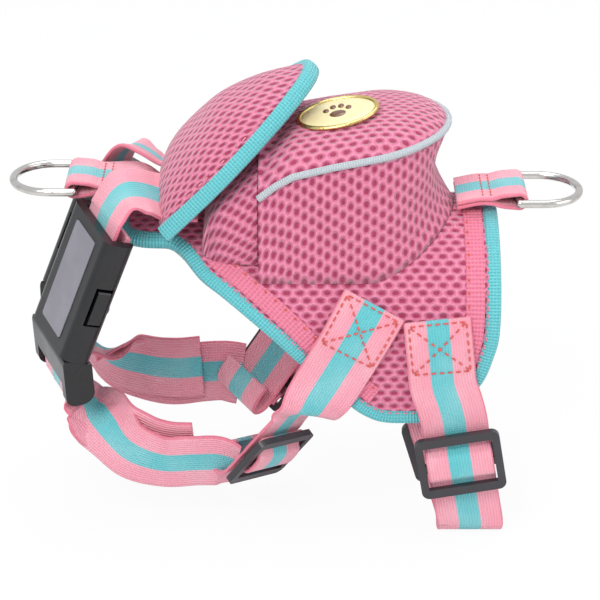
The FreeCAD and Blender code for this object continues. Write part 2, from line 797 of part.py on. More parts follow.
def chest_strap():
    """Two layers: out to the plug and back. The outer one hangs a little lower."""
    width, thick, gap = size("webbing_width"), size("webbing_thick"), size("fit_gap")
    turn = size("bar_radius") + gap + thick / 2
    bar = size("plug_bar_rise") - size("plug_base")
    side = SIDES["near"]
    across = buckle_across(side)
    tail = bar - 4.0
    loop = [(in_plug(side, turn, tail), across)]
    for step in range(7):
        angle = math.pi * step / 6
        y = turn * math.cos(angle)
        z = bar + turn * math.sin(angle)
        loop.append((in_plug(side, y, z), across))
    loop.append((in_plug(side, -turn, tail), across))
    both_sides("plug_loop", ribbon(loop, width, thick))

    rows = chest_route(side)
    outer = chest_layer(rows, side, True)
    both_sides("chest_strap", twisted_ribbon(outer, width, thick))
    both_sides("chest_return", twisted_ribbon(chest_layer(rows[8:-2], side, False), width, thick))
    return twisted_ribbon(outer, width + 2 * gap, thick + 2 * gap)


def slider_axes(spot, side):
    """(centre, width axis, run axis) of a ladder slider on its strap."""
    if spot == "front":
        centre = V(-11.3, side * 37.0, -85.7)
        across, run = V(0.61, -side * 0.757, -0.245), V(-0.57, -side * 0.20, -0.80)
    elif side < 0:
        centre = V(60.0, -47.8, -83.0)
        across, run = V(0.985, 0, 0.171), V(0.171, 0, -0.985)
    else:
        centre = V(56.8, -29.9, -84.0)
        across, run = V(0.956, 0, 0.291), V(0.291, -0.06, -0.955)
    across = unit(across)
    run = unit(run - across * run.dot(across))
    return centre, across, run


def slider_face(spot, side):
    """The way a slider faces: away from the dog's body."""
    across, run = slider_axes(spot, side)[1:]
    face = run.cross(across)
    return face if face.y * side > 0 else face * -1


def slider_point(spot, side, along, out, shift=0.0):
    """A point on a slider's mid line: along its run, out of its face, or across it."""
    centre, across, run = slider_axes(spot, side)
    return centre + run * along + slider_face(spot, side) * out + across * shift


def slider(name, spot, side):
    """A three-bar ladder frame with rounded corners."""
    s = "Sizes."
    rail, deep = f"{s}slider_rail", f"{s}slider_thick / 2"
    half = f"({s}webbing_width / 2 + 0.5 + {rail})"
    tall = f"{s}slider_length / 2"
    inside = f"({s}webbing_width / 2 + 0.5)"
    plate = block(f"{name}_plate", (f"-{half}", f"-{deep}", f"-{tall}"),
                  (half, deep, tall))
    plate = rounded(f"{name}_corner", plate, 3.0, (Y,))
    upper = block(f"{name}_upper", (f"-{inside}", f"-{deep} - 1", f"{rail} / 2"),
                  (inside, f"{deep} + 1", f"{tall} - {rail} * 1.15"))
    lower = block(f"{name}_lower", (f"-{inside}", f"-{deep} - 1", f"-{tall} + {rail} * 1.15"),
                  (inside, f"{deep} + 1", f"-{rail} / 2"))
    windows = fuse(f"{name}_windows", [upper, lower])
    centre, across, run = slider_axes(spot, side)
    keep(cut(name, plate, windows), name, frame(centre, across, run * -1))


def end_loop(name, spot, side):
    """The webbing end that is sewn over the slider's centre bar and rides with it."""
    width, thick = size("webbing_width"), size("webbing_thick")
    over = size("slider_thick") / 2 + size("layer_gap") + thick / 2
    profile = [
        (-9.9, -over), (-8.3, -over + 0.1), (-5.3, 0.0), (-2.8, over), (0, over + 0.1),
        (2.8, over), (5.3, 0.0), (8.3, -over + 0.1), (9.9, -over),
    ]
    across = slider_axes(spot, side)[1]
    stations = [(slider_point(spot, side, a, b), across) for a, b in profile]
    soft(name, ribbon(stations, width, thick))


def strap_depth():
    """How far behind a slider's mid plane its straight strap lies."""
    over = size("slider_thick") / 2 + size("layer_gap") + size("webbing_thick")
    return over + size("fit_gap") + size("webbing_thick") / 2


def saddle_slant(arc, side, along, down):
    """A direction in the saddle's skin: some of it along x, some down the arch."""
    fall = on_saddle(0, arc + 0.5, 0, side) - on_saddle(0, arc - 0.5, 0, side)
    return X * along + unit(fall) * down


def shoulder_strap(chest):
    """From its box stitch on the saddle, behind the front slider, and curled under."""
    width, thick, gap = size("webbing_width"), size("webbing_thick"), size("fit_gap")
    lift = size("binding_proud") + gap + thick / 2
    side = SIDES["near"]
    across = slider_axes("front", side)[1]
    depth = -strap_depth()
    stations = []
    for step in range(7):
        arc = 49.0 + 5.0 * step
        x = 27.4 - 2.8 * step
        point = on_saddle(x, arc, lift + 0.4, side)
        stations.append((point, saddle_slant(arc, side, 0.87, 0.49)))
    slant = saddle_slant(80, side, 0.87, 0.49)
    stations += [
        (V(6.5, side * 44.1, -57.5), slant * 0.85 + across * 0.15),
        (V(2.8, side * 43.6, -63.5), slant * 0.5 + across * 0.5),
        (slider_point("front", side, -20.5, depth), across),
        (slider_point("front", side, 11.0, depth), across),
        (slider_point("front", side, 14.5, depth - 1.2), across),
        (slider_point("front", side, 16.2, depth - 4.0), across),
        (slider_point("front", side, 14.8, depth - 6.8), across),
        (slider_point("front", side, 11.0, depth - 8.0), across),
        (slider_point("front", side, 5.0, depth - 8.2), across),
    ]
    both_sides("shoulder_strap", ribbon(stations, width, thick).cut(chest))


def girth_strap():
    """One webbing: near box stitch, near slider, slack fold, far slider, far stitch."""
    width, thick, gap = size("webbing_width"), size("webbing_thick"), size("fit_gap")
    lift = size("binding_proud") + gap + thick / 2
    depth = -strap_depth()
    fold = 4.2
    stations = [
        (on_saddle(50.2, 54.5, lift - 0.2, -1), X),
        (on_saddle(51.0, 62.0, lift, -1), X),
        (on_saddle(52.0, 80.0, lift, -1), X),
        (slider_point("girth", -1, -19.0, depth), X),
        (slider_point("girth", -1, -13.0, depth), X),
        (slider_point("girth", -1, 27.5, depth), X),
    ]
    last = stations[-1][0]
    for step in range(1, 7):
        angle = math.pi * step / 6
        drop = fold * math.sin(angle)
        stations.append((last + V(0, fold * (1 - math.cos(angle)), -drop), X))
    stations += [
        (slider_point("girth", 1, 24.0, depth), X),
        (slider_point("girth", 1, -13.5, depth), X),
        (slider_point("girth", 1, -16.5, depth + 0.8), X),
        (V(51.6, -28.0, -66.6), X),
        (V(51.7, -22.5, -65.8), X),
        (V(52.4, -10.0, -68.0), X),
        (V(53.2, 5.0, -71.5), X),
        (V(54.0, 22.0, -74.2), X),
        (V(54.6, 34.0, -75.0), X),
        (V(54.9, 40.0, -74.0), X),
        (V(55.0, 43.6, -70.5), X),
        (on_saddle(54.6, 88.0, lift, 1), X),
        (on_saddle(52.0, 76.0, lift, 1), X),
        (on_saddle(51.0, 62.0, lift, 1), X),
        (on_saddle(50.2, 54.5, lift - 0.2, 1), X),
    ]
    soft("girth_strap", ribbon(stations, width, thick))


def straps():
    neck_strap()
    shoulder_strap(chest_strap())
    for name, side in SIDES.items():
        slider(f"{name}_front_slider", "front", side)
        end_loop(f"{name}_front_end_loop", "front", side)
        slider(f"{name}_girth_slider", "girth", side)
        end_loop(f"{name}_girth_end_loop", "girth", side)
    girth_strap()


# ---------------------------------------------------------------- write

def check_and_write():
    doc.recompute()
    bad = [o.Label for o in doc.Objects if {"Invalid", "Error"} & set(o.State)]
    for obj in subparts:
        shape = obj.Shape
        if shape.isNull() or not shape.isValid() or not shape.Solids:
            bad.append(obj.Label)
    if bad:
        raise RuntimeError(f"failed objects: {sorted(set(bad))}")
    os.makedirs("parts", exist_ok=True)
    for obj in subparts:
        obj.Shape.exportStep(f"parts/{obj.Label}.step")
    print(len(subparts), "sub-parts written")


saddle()
bag()
flap()
emblem()
rings()
buckles()
straps()
check_and_write()
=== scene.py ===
import bmesh
import bpy
import numpy as np
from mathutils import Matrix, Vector


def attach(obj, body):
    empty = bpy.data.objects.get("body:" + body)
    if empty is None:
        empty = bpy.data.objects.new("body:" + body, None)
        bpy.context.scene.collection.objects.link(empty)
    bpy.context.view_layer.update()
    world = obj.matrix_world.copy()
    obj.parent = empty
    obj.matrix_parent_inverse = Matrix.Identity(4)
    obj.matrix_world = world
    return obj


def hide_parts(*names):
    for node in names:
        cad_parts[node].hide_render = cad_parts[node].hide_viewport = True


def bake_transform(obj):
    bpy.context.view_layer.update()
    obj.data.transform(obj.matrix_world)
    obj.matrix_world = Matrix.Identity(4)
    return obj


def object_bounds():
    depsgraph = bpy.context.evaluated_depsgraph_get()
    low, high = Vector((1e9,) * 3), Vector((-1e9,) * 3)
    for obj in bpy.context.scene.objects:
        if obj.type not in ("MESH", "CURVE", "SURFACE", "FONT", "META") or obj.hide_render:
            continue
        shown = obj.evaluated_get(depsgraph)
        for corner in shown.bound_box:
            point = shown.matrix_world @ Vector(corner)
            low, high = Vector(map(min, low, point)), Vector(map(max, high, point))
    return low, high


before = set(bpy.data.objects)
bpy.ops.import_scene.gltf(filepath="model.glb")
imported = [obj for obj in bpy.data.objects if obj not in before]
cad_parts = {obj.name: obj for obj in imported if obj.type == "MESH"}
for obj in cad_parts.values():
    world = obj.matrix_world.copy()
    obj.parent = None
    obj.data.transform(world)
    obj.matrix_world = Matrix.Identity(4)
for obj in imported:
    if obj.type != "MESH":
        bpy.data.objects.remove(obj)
CAD_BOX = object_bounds()

MM = 0.001
FLAP_SLANT = np.radians(43.6)
STRAP_WIDTH, STRAP_THICK = 25.0, 1.5
STRIPE_INNER, STRIPE_OUTER = 3.9, 4.4
SIDES = {"near": -1, "far": 1}

# ---------------------------------------------------------------- colours

PINK = "#F7A3B4"
PINK_DEEP = "#D9486E"
TURQUOISE = "#62C6CC"
MESH_YARN = "#DE7899"
MESH_HOLE_SHADE = "#A62653"
BINDING = "#6CCBD0"
THREAD = "#DC5A4C"
PALE_THREAD = "#EE8FA0"
BLACK = "#0D0D0F"
CHARCOAL = "#333135"
PLATE = "#7C7882"
NICKEL = "#C9C5C0"
CREAM = "#F1E2B0"
GOLD = "#D9BE7A"
BROWN = "#6B4022"
REFLECTIVE = "#C6CED3"
WHITE = "#FFFFFF"


def colour(code):
    """An sRGB hex colour as linear RGBA."""
    parts = [int(code[k:k + 2], 16) / 255 for k in (1, 3, 5)]
    linear = [c / 12.92 if c <= 0.04045 else ((c + 0.055) / 1.055) ** 2.4 for c in parts]
    return (*linear, 1.0)


def add(tree, kind, settings=None, **links):
    """One node, with its settings, and its sockets given as values or as sockets to link."""
    node = tree.nodes.new(kind)
    for key, value in (settings or {}).items():
        setattr(node, key, value)
    for key, value in links.items():
        socket = node.inputs[int(key[1:])] if key[1:].isdigit() else node.inputs[key.replace("_", " ")]
        if hasattr(value, "is_linked"):
            tree.links.new(value, socket)
        else:
            socket.default_value = value
    return node


def material(name, **shader):
    """A new material, with constants set on its main shader."""
    made = bpy.data.materials.new(name)
    made.use_nodes = True
    tree = made.node_tree
    base = tree.nodes["Principled BSDF"]
    for key, value in shader.items():
        base.inputs[key.replace("_", " ")].default_value = value
    return made, tree, base


def bump(tree, base, height, distance, strength=1.0, under=None):
    """Relief of a given depth, laid over another relief where there is one."""
    node = add(tree, "ShaderNodeBump", Strength=strength, Distance=distance, Height=height)
    if under is not None:
        tree.links.new(under.outputs[0], node.inputs["Normal"])
    tree.links.new(node.outputs[0], base.inputs["Normal"])
    return node


def maths(tree, how, a, b=0.0, c=0.0):
    """One sum on up to three values."""
    return add(tree, "ShaderNodeMath", {"operation": how}, i0=a, i1=b, i2=c).outputs[0]


def mix(tree, share, a, b):
    """The first colour turning into the second as the share goes from 0 to 1."""
    node = add(tree, "ShaderNodeMix", {"data_type": "RGBA"}, i0=share, i6=a, i7=b)
    return node.outputs[2]


def ramp(tree, value, low, high, out_low=0.0, out_high=1.0):
    """A smooth step between two levels of a value."""
    node = add(tree, "ShaderNodeMapRange", {"interpolation_type": "SMOOTHSTEP"},
               i0=value, i1=low, i2=high, i3=out_low, i4=out_high)
    return node.outputs[0]


def flat_uv(tree):
    """The flat cloth's own coordinates, in metres: both, across, along."""
    uv = add(tree, "ShaderNodeUVMap", {"uv_map": "Cloth"})
    parts = add(tree, "ShaderNodeSeparateXYZ", i0=uv.outputs[0])
    return uv.outputs[0], parts.outputs[0], parts.outputs[1]


def nylon_webbing():
    """Woven nylon: lengthwise cords a millimetre apart catch the light as fine ribs; the grooves between
    them get a painted shade, a deeper pink or turquoise broken up by noise.
    """
    made, tree, base = material("nylon webbing woven", Roughness=0.62, Sheen_Weight=0.35,
                                Sheen_Roughness=0.4)
    uv, across, along = flat_uv(tree)
    side = maths(tree, "ABSOLUTE", across)
    stripe = ramp(tree, side, STRIPE_INNER * MM, STRIPE_OUTER * MM, 1.0, 0.0)
    edge = ramp(tree, side, 11.6 * MM, 12.3 * MM)
    cords = maths(tree, "SINE", maths(tree, "MULTIPLY", across, 2 * np.pi / (1.05 * MM)))
    picks = maths(tree, "SINE", maths(tree, "MULTIPLY", along, 2 * np.pi / (0.9 * MM)))
    weave = maths(tree, "MULTIPLY_ADD", picks, 0.35, cords)
    noise = add(tree, "ShaderNodeTexNoise", Vector=uv, Scale=420.0, Detail=3.0).outputs[0]
    cloud = add(tree, "ShaderNodeTexNoise", Vector=uv, Scale=45.0, Detail=2.0).outputs[0]
    body = mix(tree, stripe, colour(PINK), colour(TURQUOISE))
    # painted shade: the weave's low grooves are blended towards a deeper pink or turquoise
    painted_groove_shade = ramp(tree, maths(tree, "MULTIPLY_ADD", noise, 0.8, weave), -1.1, 0.6, 0.30, 0.0)
    body = mix(tree, painted_groove_shade, body, mix(tree, stripe, colour(PINK_DEEP), colour("#2F9AA4")))
    # painted highlight: soft patches blended up to a sixth of the way towards white
    body = mix(tree, ramp(tree, cloud, 0.35, 0.75, 0.0, 0.16), body, colour(WHITE))
    body = mix(tree, maths(tree, "MULTIPLY", edge, 0.55), body, colour(PINK_DEEP))
    tree.links.new(body, base.inputs["Base Color"])
    bump(tree, base, weave, 0.16 * MM, 0.8)
    return made


def air_mesh(name, pitch_x, pitch_y, long_x, long_y):
    """Knitted polyester air mesh: rows of open cells, each row half a cell along, the raised yarn
    between them with a painted highlight and the open cells filled with a dark painted shade.
    """
    made, tree, base = material(name, Roughness=0.7, Sheen_Weight=0.4, Sheen_Roughness=0.5)
    uv = flat_uv(tree)[0]
    cells = []
    for shift in (0.0, 0.5):
        place = add(tree, "ShaderNodeVectorMath", {"operation": "MULTIPLY_ADD"}, i0=uv,
                    i1=(1 / (pitch_x * MM), 1 / (pitch_y * MM), 0), i2=(shift, shift, 0))
        part = add(tree, "ShaderNodeVectorMath", {"operation": "FRACTION"}, i0=place.outputs[0])
        mid = add(tree, "ShaderNodeVectorMath", {"operation": "SUBTRACT"}, i0=part.outputs[0],
                  i1=(0.5, 0.5, 0))
        oval = add(tree, "ShaderNodeVectorMath", {"operation": "MULTIPLY"}, i0=mid.outputs[0],
                   i1=(pitch_x / long_x, pitch_y / long_y, 0))
        cells.append(add(tree, "ShaderNodeVectorMath", {"operation": "LENGTH"},
                         i0=oval.outputs[0]).outputs[1])
    near = maths(tree, "MINIMUM", *cells)
    fibre = add(tree, "ShaderNodeTexNoise", Vector=uv, Scale=900.0, Detail=3.0).outputs[0]
    ragged = maths(tree, "MULTIPLY_ADD", fibre, 0.22, near)
    hole = ramp(tree, ragged, 0.50, 0.72, 1.0, 0.0)
    rim = ramp(tree, near, 0.6, 1.15)
    cloud = add(tree, "ShaderNodeTexNoise", Vector=uv, Scale=30.0, Detail=2.0).outputs[0]
    yarn = mix(tree, ramp(tree, fibre, 0.3, 0.7), colour("#CC5F86"), colour(MESH_YARN))
    # painted highlight: the raised yarn between the cells is blended towards a pale pink
    yarn = mix(tree, maths(tree, "MULTIPLY", rim, 0.35), yarn, colour("#F0A2BA"))
    yarn = mix(tree, ramp(tree, cloud, 0.4, 0.8, 0.0, 0.2), yarn, colour("#D66D92"))
    # painted shade: the open cells are coloured a dark red-pink, as if in shadow
    deep = mix(tree, ramp(tree, fibre, 0.4, 0.7), colour(MESH_HOLE_SHADE), colour("#8A1B44"))
    tree.links.new(mix(tree, hole, yarn, deep), base.inputs["Base Color"])
    fine = bump(tree, base, fibre, 0.15 * MM, 0.5)
    bump(tree, base, ramp(tree, near, 0.35, 0.95), 0.9 * MM, 0.9, under=fine)
    return made


def ribbed_tape(name, base_code, groove_shade_code, pitch, deep):
    """Folded edging tape: short cross ribs run round the edge that it binds, their grooves darkened by a
    painted shade.
    """
    made, tree, base = material(name, Roughness=0.6, Sheen_Weight=0.3, Sheen_Roughness=0.4)
    uv, across, along = flat_uv(tree)
    ribs = maths(tree, "SINE", maths(tree, "MULTIPLY", along, 2 * np.pi / (pitch * MM)))
    cords = maths(tree, "SINE", maths(tree, "MULTIPLY", across, 2 * np.pi / (1.3 * MM)))
    knit = maths(tree, "MULTIPLY_ADD", cords, 0.6, ribs)
    noise = add(tree, "ShaderNodeTexNoise", Vector=uv, Scale=500.0, Detail=2.0).outputs[0]
    # painted shade: the grooves between ribs are blended towards the darker colour, as far as the share
    # deep, broken up by noise
    shade = ramp(tree, maths(tree, "MULTIPLY_ADD", noise, 0.8, knit), -1.0, 0.9, deep, 0.0)
    tree.links.new(mix(tree, shade, colour(base_code), colour(groove_shade_code)), base.inputs["Base Color"])
    bump(tree, base, knit, 0.2 * MM, 0.8)
    return made


def plain_thread(name, code):
    """Twisted polyester sewing thread: a fine slanting twist, soft shine."""
    made, tree, base = material(name, Roughness=0.5, Sheen_Weight=0.2)
    place = add(tree, "ShaderNodeTexCoord").outputs["Object"]
    twist = add(tree, "ShaderNodeTexNoise", Vector=place, Scale=2500.0).outputs[0]
    body = mix(tree, ramp(tree, twist, 0.3, 0.7, 0.0, 0.5), colour(code), colour("#B8485A"))
    tree.links.new(body, base.inputs["Base Color"])
    bump(tree, base, twist, 0.08 * MM, 0.6)
    return made


def moulded(name, code, light, rough, coat=0.0):
    """Injection-moulded acetal: fine spark-eroded grain, a soft highlight, rubbed edges."""
    made, tree, base = material(name, Roughness=rough, Coat_Weight=coat, Coat_Roughness=0.25)
    place = add(tree, "ShaderNodeTexCoord").outputs["Object"]
    grain = add(tree, "ShaderNodeTexNoise", Vector=place, Scale=2600.0, Detail=2.0).outputs[0]
    rub = add(tree, "ShaderNodeTexNoise", Vector=place, Scale=55.0, Detail=4.0).outputs[0]
    body = mix(tree, ramp(tree, rub, 0.45, 0.8, 0.0, 0.35), colour(code), colour(light))
    tree.links.new(body, base.inputs["Base Color"])
    tree.links.new(ramp(tree, rub, 0.3, 0.8, rough - 0.06, rough + 0.1), base.inputs["Roughness"])
    bump(tree, base, grain, 0.05 * MM, 0.35)
    return made


def metal(name, code, rough, scale):
    """Plated metal, nickel or brass: mirror shine with fine handling scratches."""
    made, tree, base = material(name, Metallic=1.0, Roughness=rough)
    place = add(tree, "ShaderNodeTexCoord").outputs["Object"]
    marks = add(tree, "ShaderNodeTexNoise", Vector=place, Scale=scale, Detail=5.0).outputs[0]
    tree.links.new(mix(tree, ramp(tree, marks, 0.45, 0.75, 0.0, 0.4), colour(code), colour("#8E8A86")),
                   base.inputs["Base Color"])
    tree.links.new(ramp(tree, marks, 0.3, 0.8, rough * 0.7, rough * 1.8), base.inputs["Roughness"])
    bump(tree, base, marks, 0.03 * MM, 0.3)
    return made


def enamel(name, code, speck):
    """Printed badge under a clear dome of resin: a smooth colour with a wet shine."""
    made, tree, base = material(name, Roughness=0.3, Coat_Weight=0.6, Coat_Roughness=0.08)
    place = add(tree, "ShaderNodeTexCoord").outputs["Object"]
    cloud = add(tree, "ShaderNodeTexNoise", Vector=place, Scale=220.0, Detail=2.0).outputs[0]
    tree.links.new(mix(tree, ramp(tree, cloud, 0.4, 0.75, 0.0, 0.4), colour(code), colour(speck)),
                   base.inputs["Base Color"])
    bump(tree, base, cloud, 0.05 * MM, 0.3)
    return made


WEBBING = nylon_webbing()
MESH = air_mesh("polyester air mesh knitted", 5.0, 5.6, 2.5, 1.55)
MESH_ROUND = air_mesh("polyester air mesh fine", 4.6, 5.2, 2.1, 1.7)
# the second colour of each tape is the painted shade in its rib grooves
EDGING = ribbed_tape("polyester binding folded", BINDING, "#2E97A2", 1.2, 0.55)
PINK_TAPE = ribbed_tape("polyester tape pink", "#E9829C", "#C84C72", 1.6, 0.5)
LINING = ribbed_tape("polyester lining brushed", "#E58AA4", "#C65C80", 1.0, 0.35)
PIPING = ribbed_tape("reflective piping glass bead", REFLECTIVE, "#9BA5AC", 0.9, 0.35)
STITCH = plain_thread("polyester thread coral", THREAD)
STITCH_PALE = plain_thread("polyester thread pale", PALE_THREAD)
BUCKLE = moulded("acetal buckle moulded", BLACK, "#222124", 0.3)
SLIDER = moulded("acetal slider moulded", CHARCOAL, "#55525A", 0.38)
FACE_PLATE = moulded("acetal face plate satin", PLATE, "#A5A2AC", 0.36, 0.3)
WIRE = metal("nickel plated steel wire", NICKEL, 0.16, 260.0)
BADGE = enamel("resin badge cream", CREAM, "#E3CE92")
BADGE_RIM = metal("brass rim plated", GOLD, 0.22, 500.0)
PAW = enamel("resin badge brown", BROWN, "#8A5A34")

# ---------------------------------------------------------------- surfaces


def unit(v):
    """Each vector at length one."""
    return v / np.maximum(np.linalg.norm(v, axis=-1, keepdims=True), 1e-9)


def piece(name, points, faces, uvs, stuff, parts=None):
    """A mesh piece from millimetre points, quads, and one flat-cloth coordinate per corner."""
    mesh = bpy.data.meshes.new(name)
    mesh.from_pydata((points * MM).tolist(), [], faces)
    layer = mesh.uv_layers.new(name="Cloth")
    layer.data.foreach_set("uv", np.asarray(uvs, float).reshape(-1) * MM)
    for item in stuff:
        mesh.materials.append(item)
    if parts is not None:
        mesh.polygons.foreach_set("material_index", parts)
    mesh.polygons.foreach_set("use_smooth", [True] * len(mesh.polygons))
    mesh.update()
    made = bpy.data.objects.new(name, mesh)
    bpy.context.scene.collection.objects.link(made)
    return made


def quads(n, m, wrap_n=False, wrap_m=False):
    """Corner indices of a grid's quads, with the last row or column joined to the first."""
    i = np.arange(n if wrap_n else n - 1)[:, None]
    j = np.arange(m if wrap_m else m - 1)[None, :]
    a, b = (i + 1) % n, (j + 1) % m
    full = np.broadcast_arrays(i * m + j, a * m + j, a * m + b, i * m + b)
    return np.stack([f.reshape(-1) for f in full], 1)


def corner_uv(u, v):
    """Each quad's corners on the flat cloth, from the lengths run each way."""
    uv = np.stack(np.broadcast_arrays(u, v), -1)
    return np.stack([uv[:-1, :-1], uv[1:, :-1], uv[1:, 1:], uv[:-1, 1:]], 2).reshape(-1, 2)


def spread(rows, count):
    """Catmull-Rom through the rows, at evenly spaced distances along the path of x, y, z."""
    rows = np.asarray(rows, float)
    ends = np.vstack([2 * rows[:1] - rows[1:2], rows, 2 * rows[-1:] - rows[-2:-1]])
    k = np.repeat(np.arange(len(rows) - 1), 24)
    t = np.tile(np.arange(24) / 24, len(rows) - 1)[:, None]
    a, b, c, d = ends[k], ends[k + 1], ends[k + 2], ends[k + 3]
    path = 0.5 * (2 * b + (c - a) * t + (2 * a - 5 * b + 4 * c - d) * t ** 2
                  + (3 * b - a - 3 * c + d) * t ** 3)
    path = np.vstack([path, rows[-1:]])
    gone = np.concatenate([[0], np.cumsum(np.linalg.norm(np.diff(path[:, :3], axis=0), axis=1))])
    at = np.linspace(0, gone[-1], count)
    return read_at(at, gone, path), at


def running(points):
    """Distance from the start to each point along the line."""
    step = np.linalg.norm(np.diff(points, axis=0), axis=1)
    return np.concatenate([[0], np.cumsum(step)])


def read_at(at, gone, points):
    """Each column of the points, read at distances along their line."""
    return np.stack([np.interp(at, gone, points[:, j]) for j in range(points.shape[1])], 1)


def squarish(middle, half, power):
    """A plump oval: half size times cosine or sine, each raised to a power below one."""
    turn = np.linspace(0, 2 * np.pi, 20, endpoint=False)
    wave = np.stack([np.cos(turn), np.sin(turn)], 1)
    return np.array(middle) + np.array(half) * np.sign(wave) * np.abs(wave) ** power


def strap_section(width, thick):
    """A flat strap across: straight faces, and half-round selvedges a little fuller."""
    half, deep = width / 2, thick / 2
    flat = np.linspace(-1, 1, 15) * (half - deep)
    turn = np.linspace(-80, 80, 5) * np.pi / 180
    right = np.stack([half - deep + deep * np.cos(turn), 1.08 * deep * np.sin(turn)], 1)
    top = np.stack([flat[::-1][1:-1], np.full(13, deep)], 1)
    under = np.stack([flat[1:-1], np.full(13, -deep)], 1)
    return np.vstack([right, top, -right, under])


def sweep(name, centre, across, out, section, stuff, closed=False, v=None):
    """A section carried along a path: centre + across * x + out * y at every station."""
    n, m = len(centre), len(section)
    points = (centre[:, None] + across[:, None] * section[None, :, :1]
              + out[:, None] * section[None, :, 1:2]).reshape(-1, 3)
    faces = quads(n, m, closed, True)
    along = v if v is not None else running(centre)
    if closed:
        along = np.append(along, along[-1] + np.linalg.norm(centre[0] - centre[-1]))
    u = np.append(section[:, 0], section[0, 0])[None, :]
    uvs = corner_uv(u, along[:, None])
    faces = faces.tolist()
    uvs = [uvs]
    if not closed:
        for start, order in ((0, 1), ((n - 1) * m, -1)):
            ring = [start + k for k in range(m)][::order]
            faces.append(ring)
            uvs.append(np.stack([section[::order, 0], np.full(m, along[0 if start == 0 else -1])], 1))
    return piece(name, points, faces, np.vstack(uvs), [stuff])


def outward(made):
    """Turn every face of a closed piece outwards."""
    body = bmesh.new()
    body.from_mesh(made.data)
    bmesh.ops.recalc_face_normals(body, faces=body.faces)
    body.to_mesh(made.data)
    body.free()
    return made


def strap(name, rows, count, nodes):
    """Webbing on a smooth line through rows of place and width direction.

    The width direction is squared to the line; the thickness goes half to each side."""
    path, _ = spread(rows, count)
    centre, hint = path[:, :3], unit(path[:, 3:6])
    run = unit(np.gradient(centre, axis=0))
    across = unit(hint - run * np.sum(run * hint, 1, keepdims=True))
    out = np.cross(run, across)
    section = strap_section(STRAP_WIDTH, STRAP_THICK)
    made = outward(sweep(name, centre, across, out, section, WEBBING))
    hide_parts(*nodes)
    return made, centre, across, out


def stitches(name, paths, stuff, length=2.3, gap=1.1, radius=0.34):
    """A row of short thread beads along each path: six-sided spindles lying on the cloth."""
    turn = np.arange(6) / 6 * 2 * np.pi
    shape = np.array([(-1, 0.15), (-0.6, 0.85), (0.6, 0.85), (1, 0.15)])
    points, faces = [], []
    for way, normal in paths:
        gone = running(way)
        count = max(int(gone[-1] // (length + gap)), 1)
        at = (np.arange(count) + 0.5) * gone[-1] / count
        ends = [read_at(at + s * length / 2, gone, way) for s in (-1, 1)]
        up = unit(read_at(at, gone, normal))
        mid, run = (ends[0] + ends[1]) / 2, unit(ends[1] - ends[0])
        side = np.cross(run, up)
        for place, r, w, u in zip(mid, run, side, up):
            base = len(points) * 24
            ring = [place + r * s * length / 2 + (w * np.cos(a) * 1.2 + u * np.sin(a)) * radius * k
                    for s, k in shape for a in turn]
            points.append(ring)
            for row in range(3):
                for k in range(6):
                    a, b = row * 6 + k, row * 6 + (k + 1) % 6
                    faces.append([base + a, base + b, base + b + 6, base + a + 6])
            faces.append([base + k for k in range(6)][::-1])
            faces.append([base + 18 + k for k in range(6)])
    points = np.array(points).reshape(-1, 3)
    uvs = np.zeros((sum(len(f) for f in faces), 2))
    return outward(piece(name, points, faces, uvs, [stuff]))


def sandwich(name, top, under, u, v, stuff):
    """A padded shell: its face, its back, and a rim that joins them."""
    n, m, _ = top.shape
    points = np.vstack([top.reshape(-1, 3), under.reshape(-1, 3)])
    face = quads(n, m)
    back = face[:, ::-1] + n * m
    rim = np.concatenate([np.arange(m), np.arange(1, n) * m + m - 1,
                          (n - 1) * m + np.arange(m - 2, -1, -1), np.arange(n - 2, 0, -1) * m])
    after = np.roll(rim, -1)
    wall = np.stack([rim, after, after + n * m, rim + n * m], 1)
    uv = corner_uv(u, v)
    flip = uv.reshape(-1, 4, 2)[:, ::-1].reshape(-1, 2)
    both = np.stack(np.broadcast_arrays(u, v), -1).reshape(-1, 2)
    edge = both[np.stack([rim, after, after, rim], 1)].reshape(-1, 2)
    parts = np.concatenate([np.zeros(len(face)), np.ones(len(face)), np.zeros(len(wall))])
    faces = np.vstack([face, back, wall]).tolist()
    return outward(piece(name, points, faces, np.vstack([uv, flip, edge]), stuff, parts.astype(int)))


# ---------------------------------------------------------------- saddle

RADIUS, AXIS = 42.0, -38.0
PAD_DEPTH, PUFF = 4.0, 0.9
QUARTER = RADIUS * np.pi / 2


def arc_of(z):
    """Distance down the saddle's skin from the ridge to a height."""
    z = np.asarray(z, float)
    over = RADIUS * np.arccos(np.clip((z - AXIS) / RADIUS, -1, 1))
    return np.where(z >= AXIS, over, QUARTER + AXIS - z)


def skin(x, arc, lift=0.0):
    """The place on the saddle at x and a signed distance from the ridge, raised by lift."""
    side, far = np.sign(arc), np.abs(arc)
    turn = np.minimum(far, QUARTER) / RADIUS
    drop = np.maximum(far - QUARTER, 0)
    reach = RADIUS + lift
    return np.stack(np.broadcast_arrays(x, side * reach * np.sin(turn),
                                        AXIS + reach * np.cos(turn) - drop), -1)


def skin_out(arc):
    """The outward direction of the saddle's skin at a distance from the ridge."""
    turn = np.minimum(np.abs(arc), QUARTER) / RADIUS
    return np.stack([0 * turn, np.sign(arc) * np.sin(turn), np.cos(turn)], -1)


FRONT_EDGE = [(-69, 0.0), (-69, 12), (-68.2, 18), (-65, 22.5), (-60, 24.5), (-54, 25.2),
              (-49.5, arc_of(-3)), (-43.5, arc_of(-6)),
              (-36.5, arc_of(-13)), (-27.5, arc_of(-19.5)), (-11.5, arc_of(-33)),
              (0.5, arc_of(-45)), (19.5, arc_of(-62.5)), (24, arc_of(-65.8)),
              (29, arc_of(-68.2)), (34, arc_of(-69))]
REAR_EDGE = [(73.5, 0.0), (73.5, arc_of(-27)), (71, arc_of(-43)), (66.5, arc_of(-54)),
             (57.5, arc_of(-63)), (50.5, arc_of(-67.4)), (44.5, arc_of(-69))]


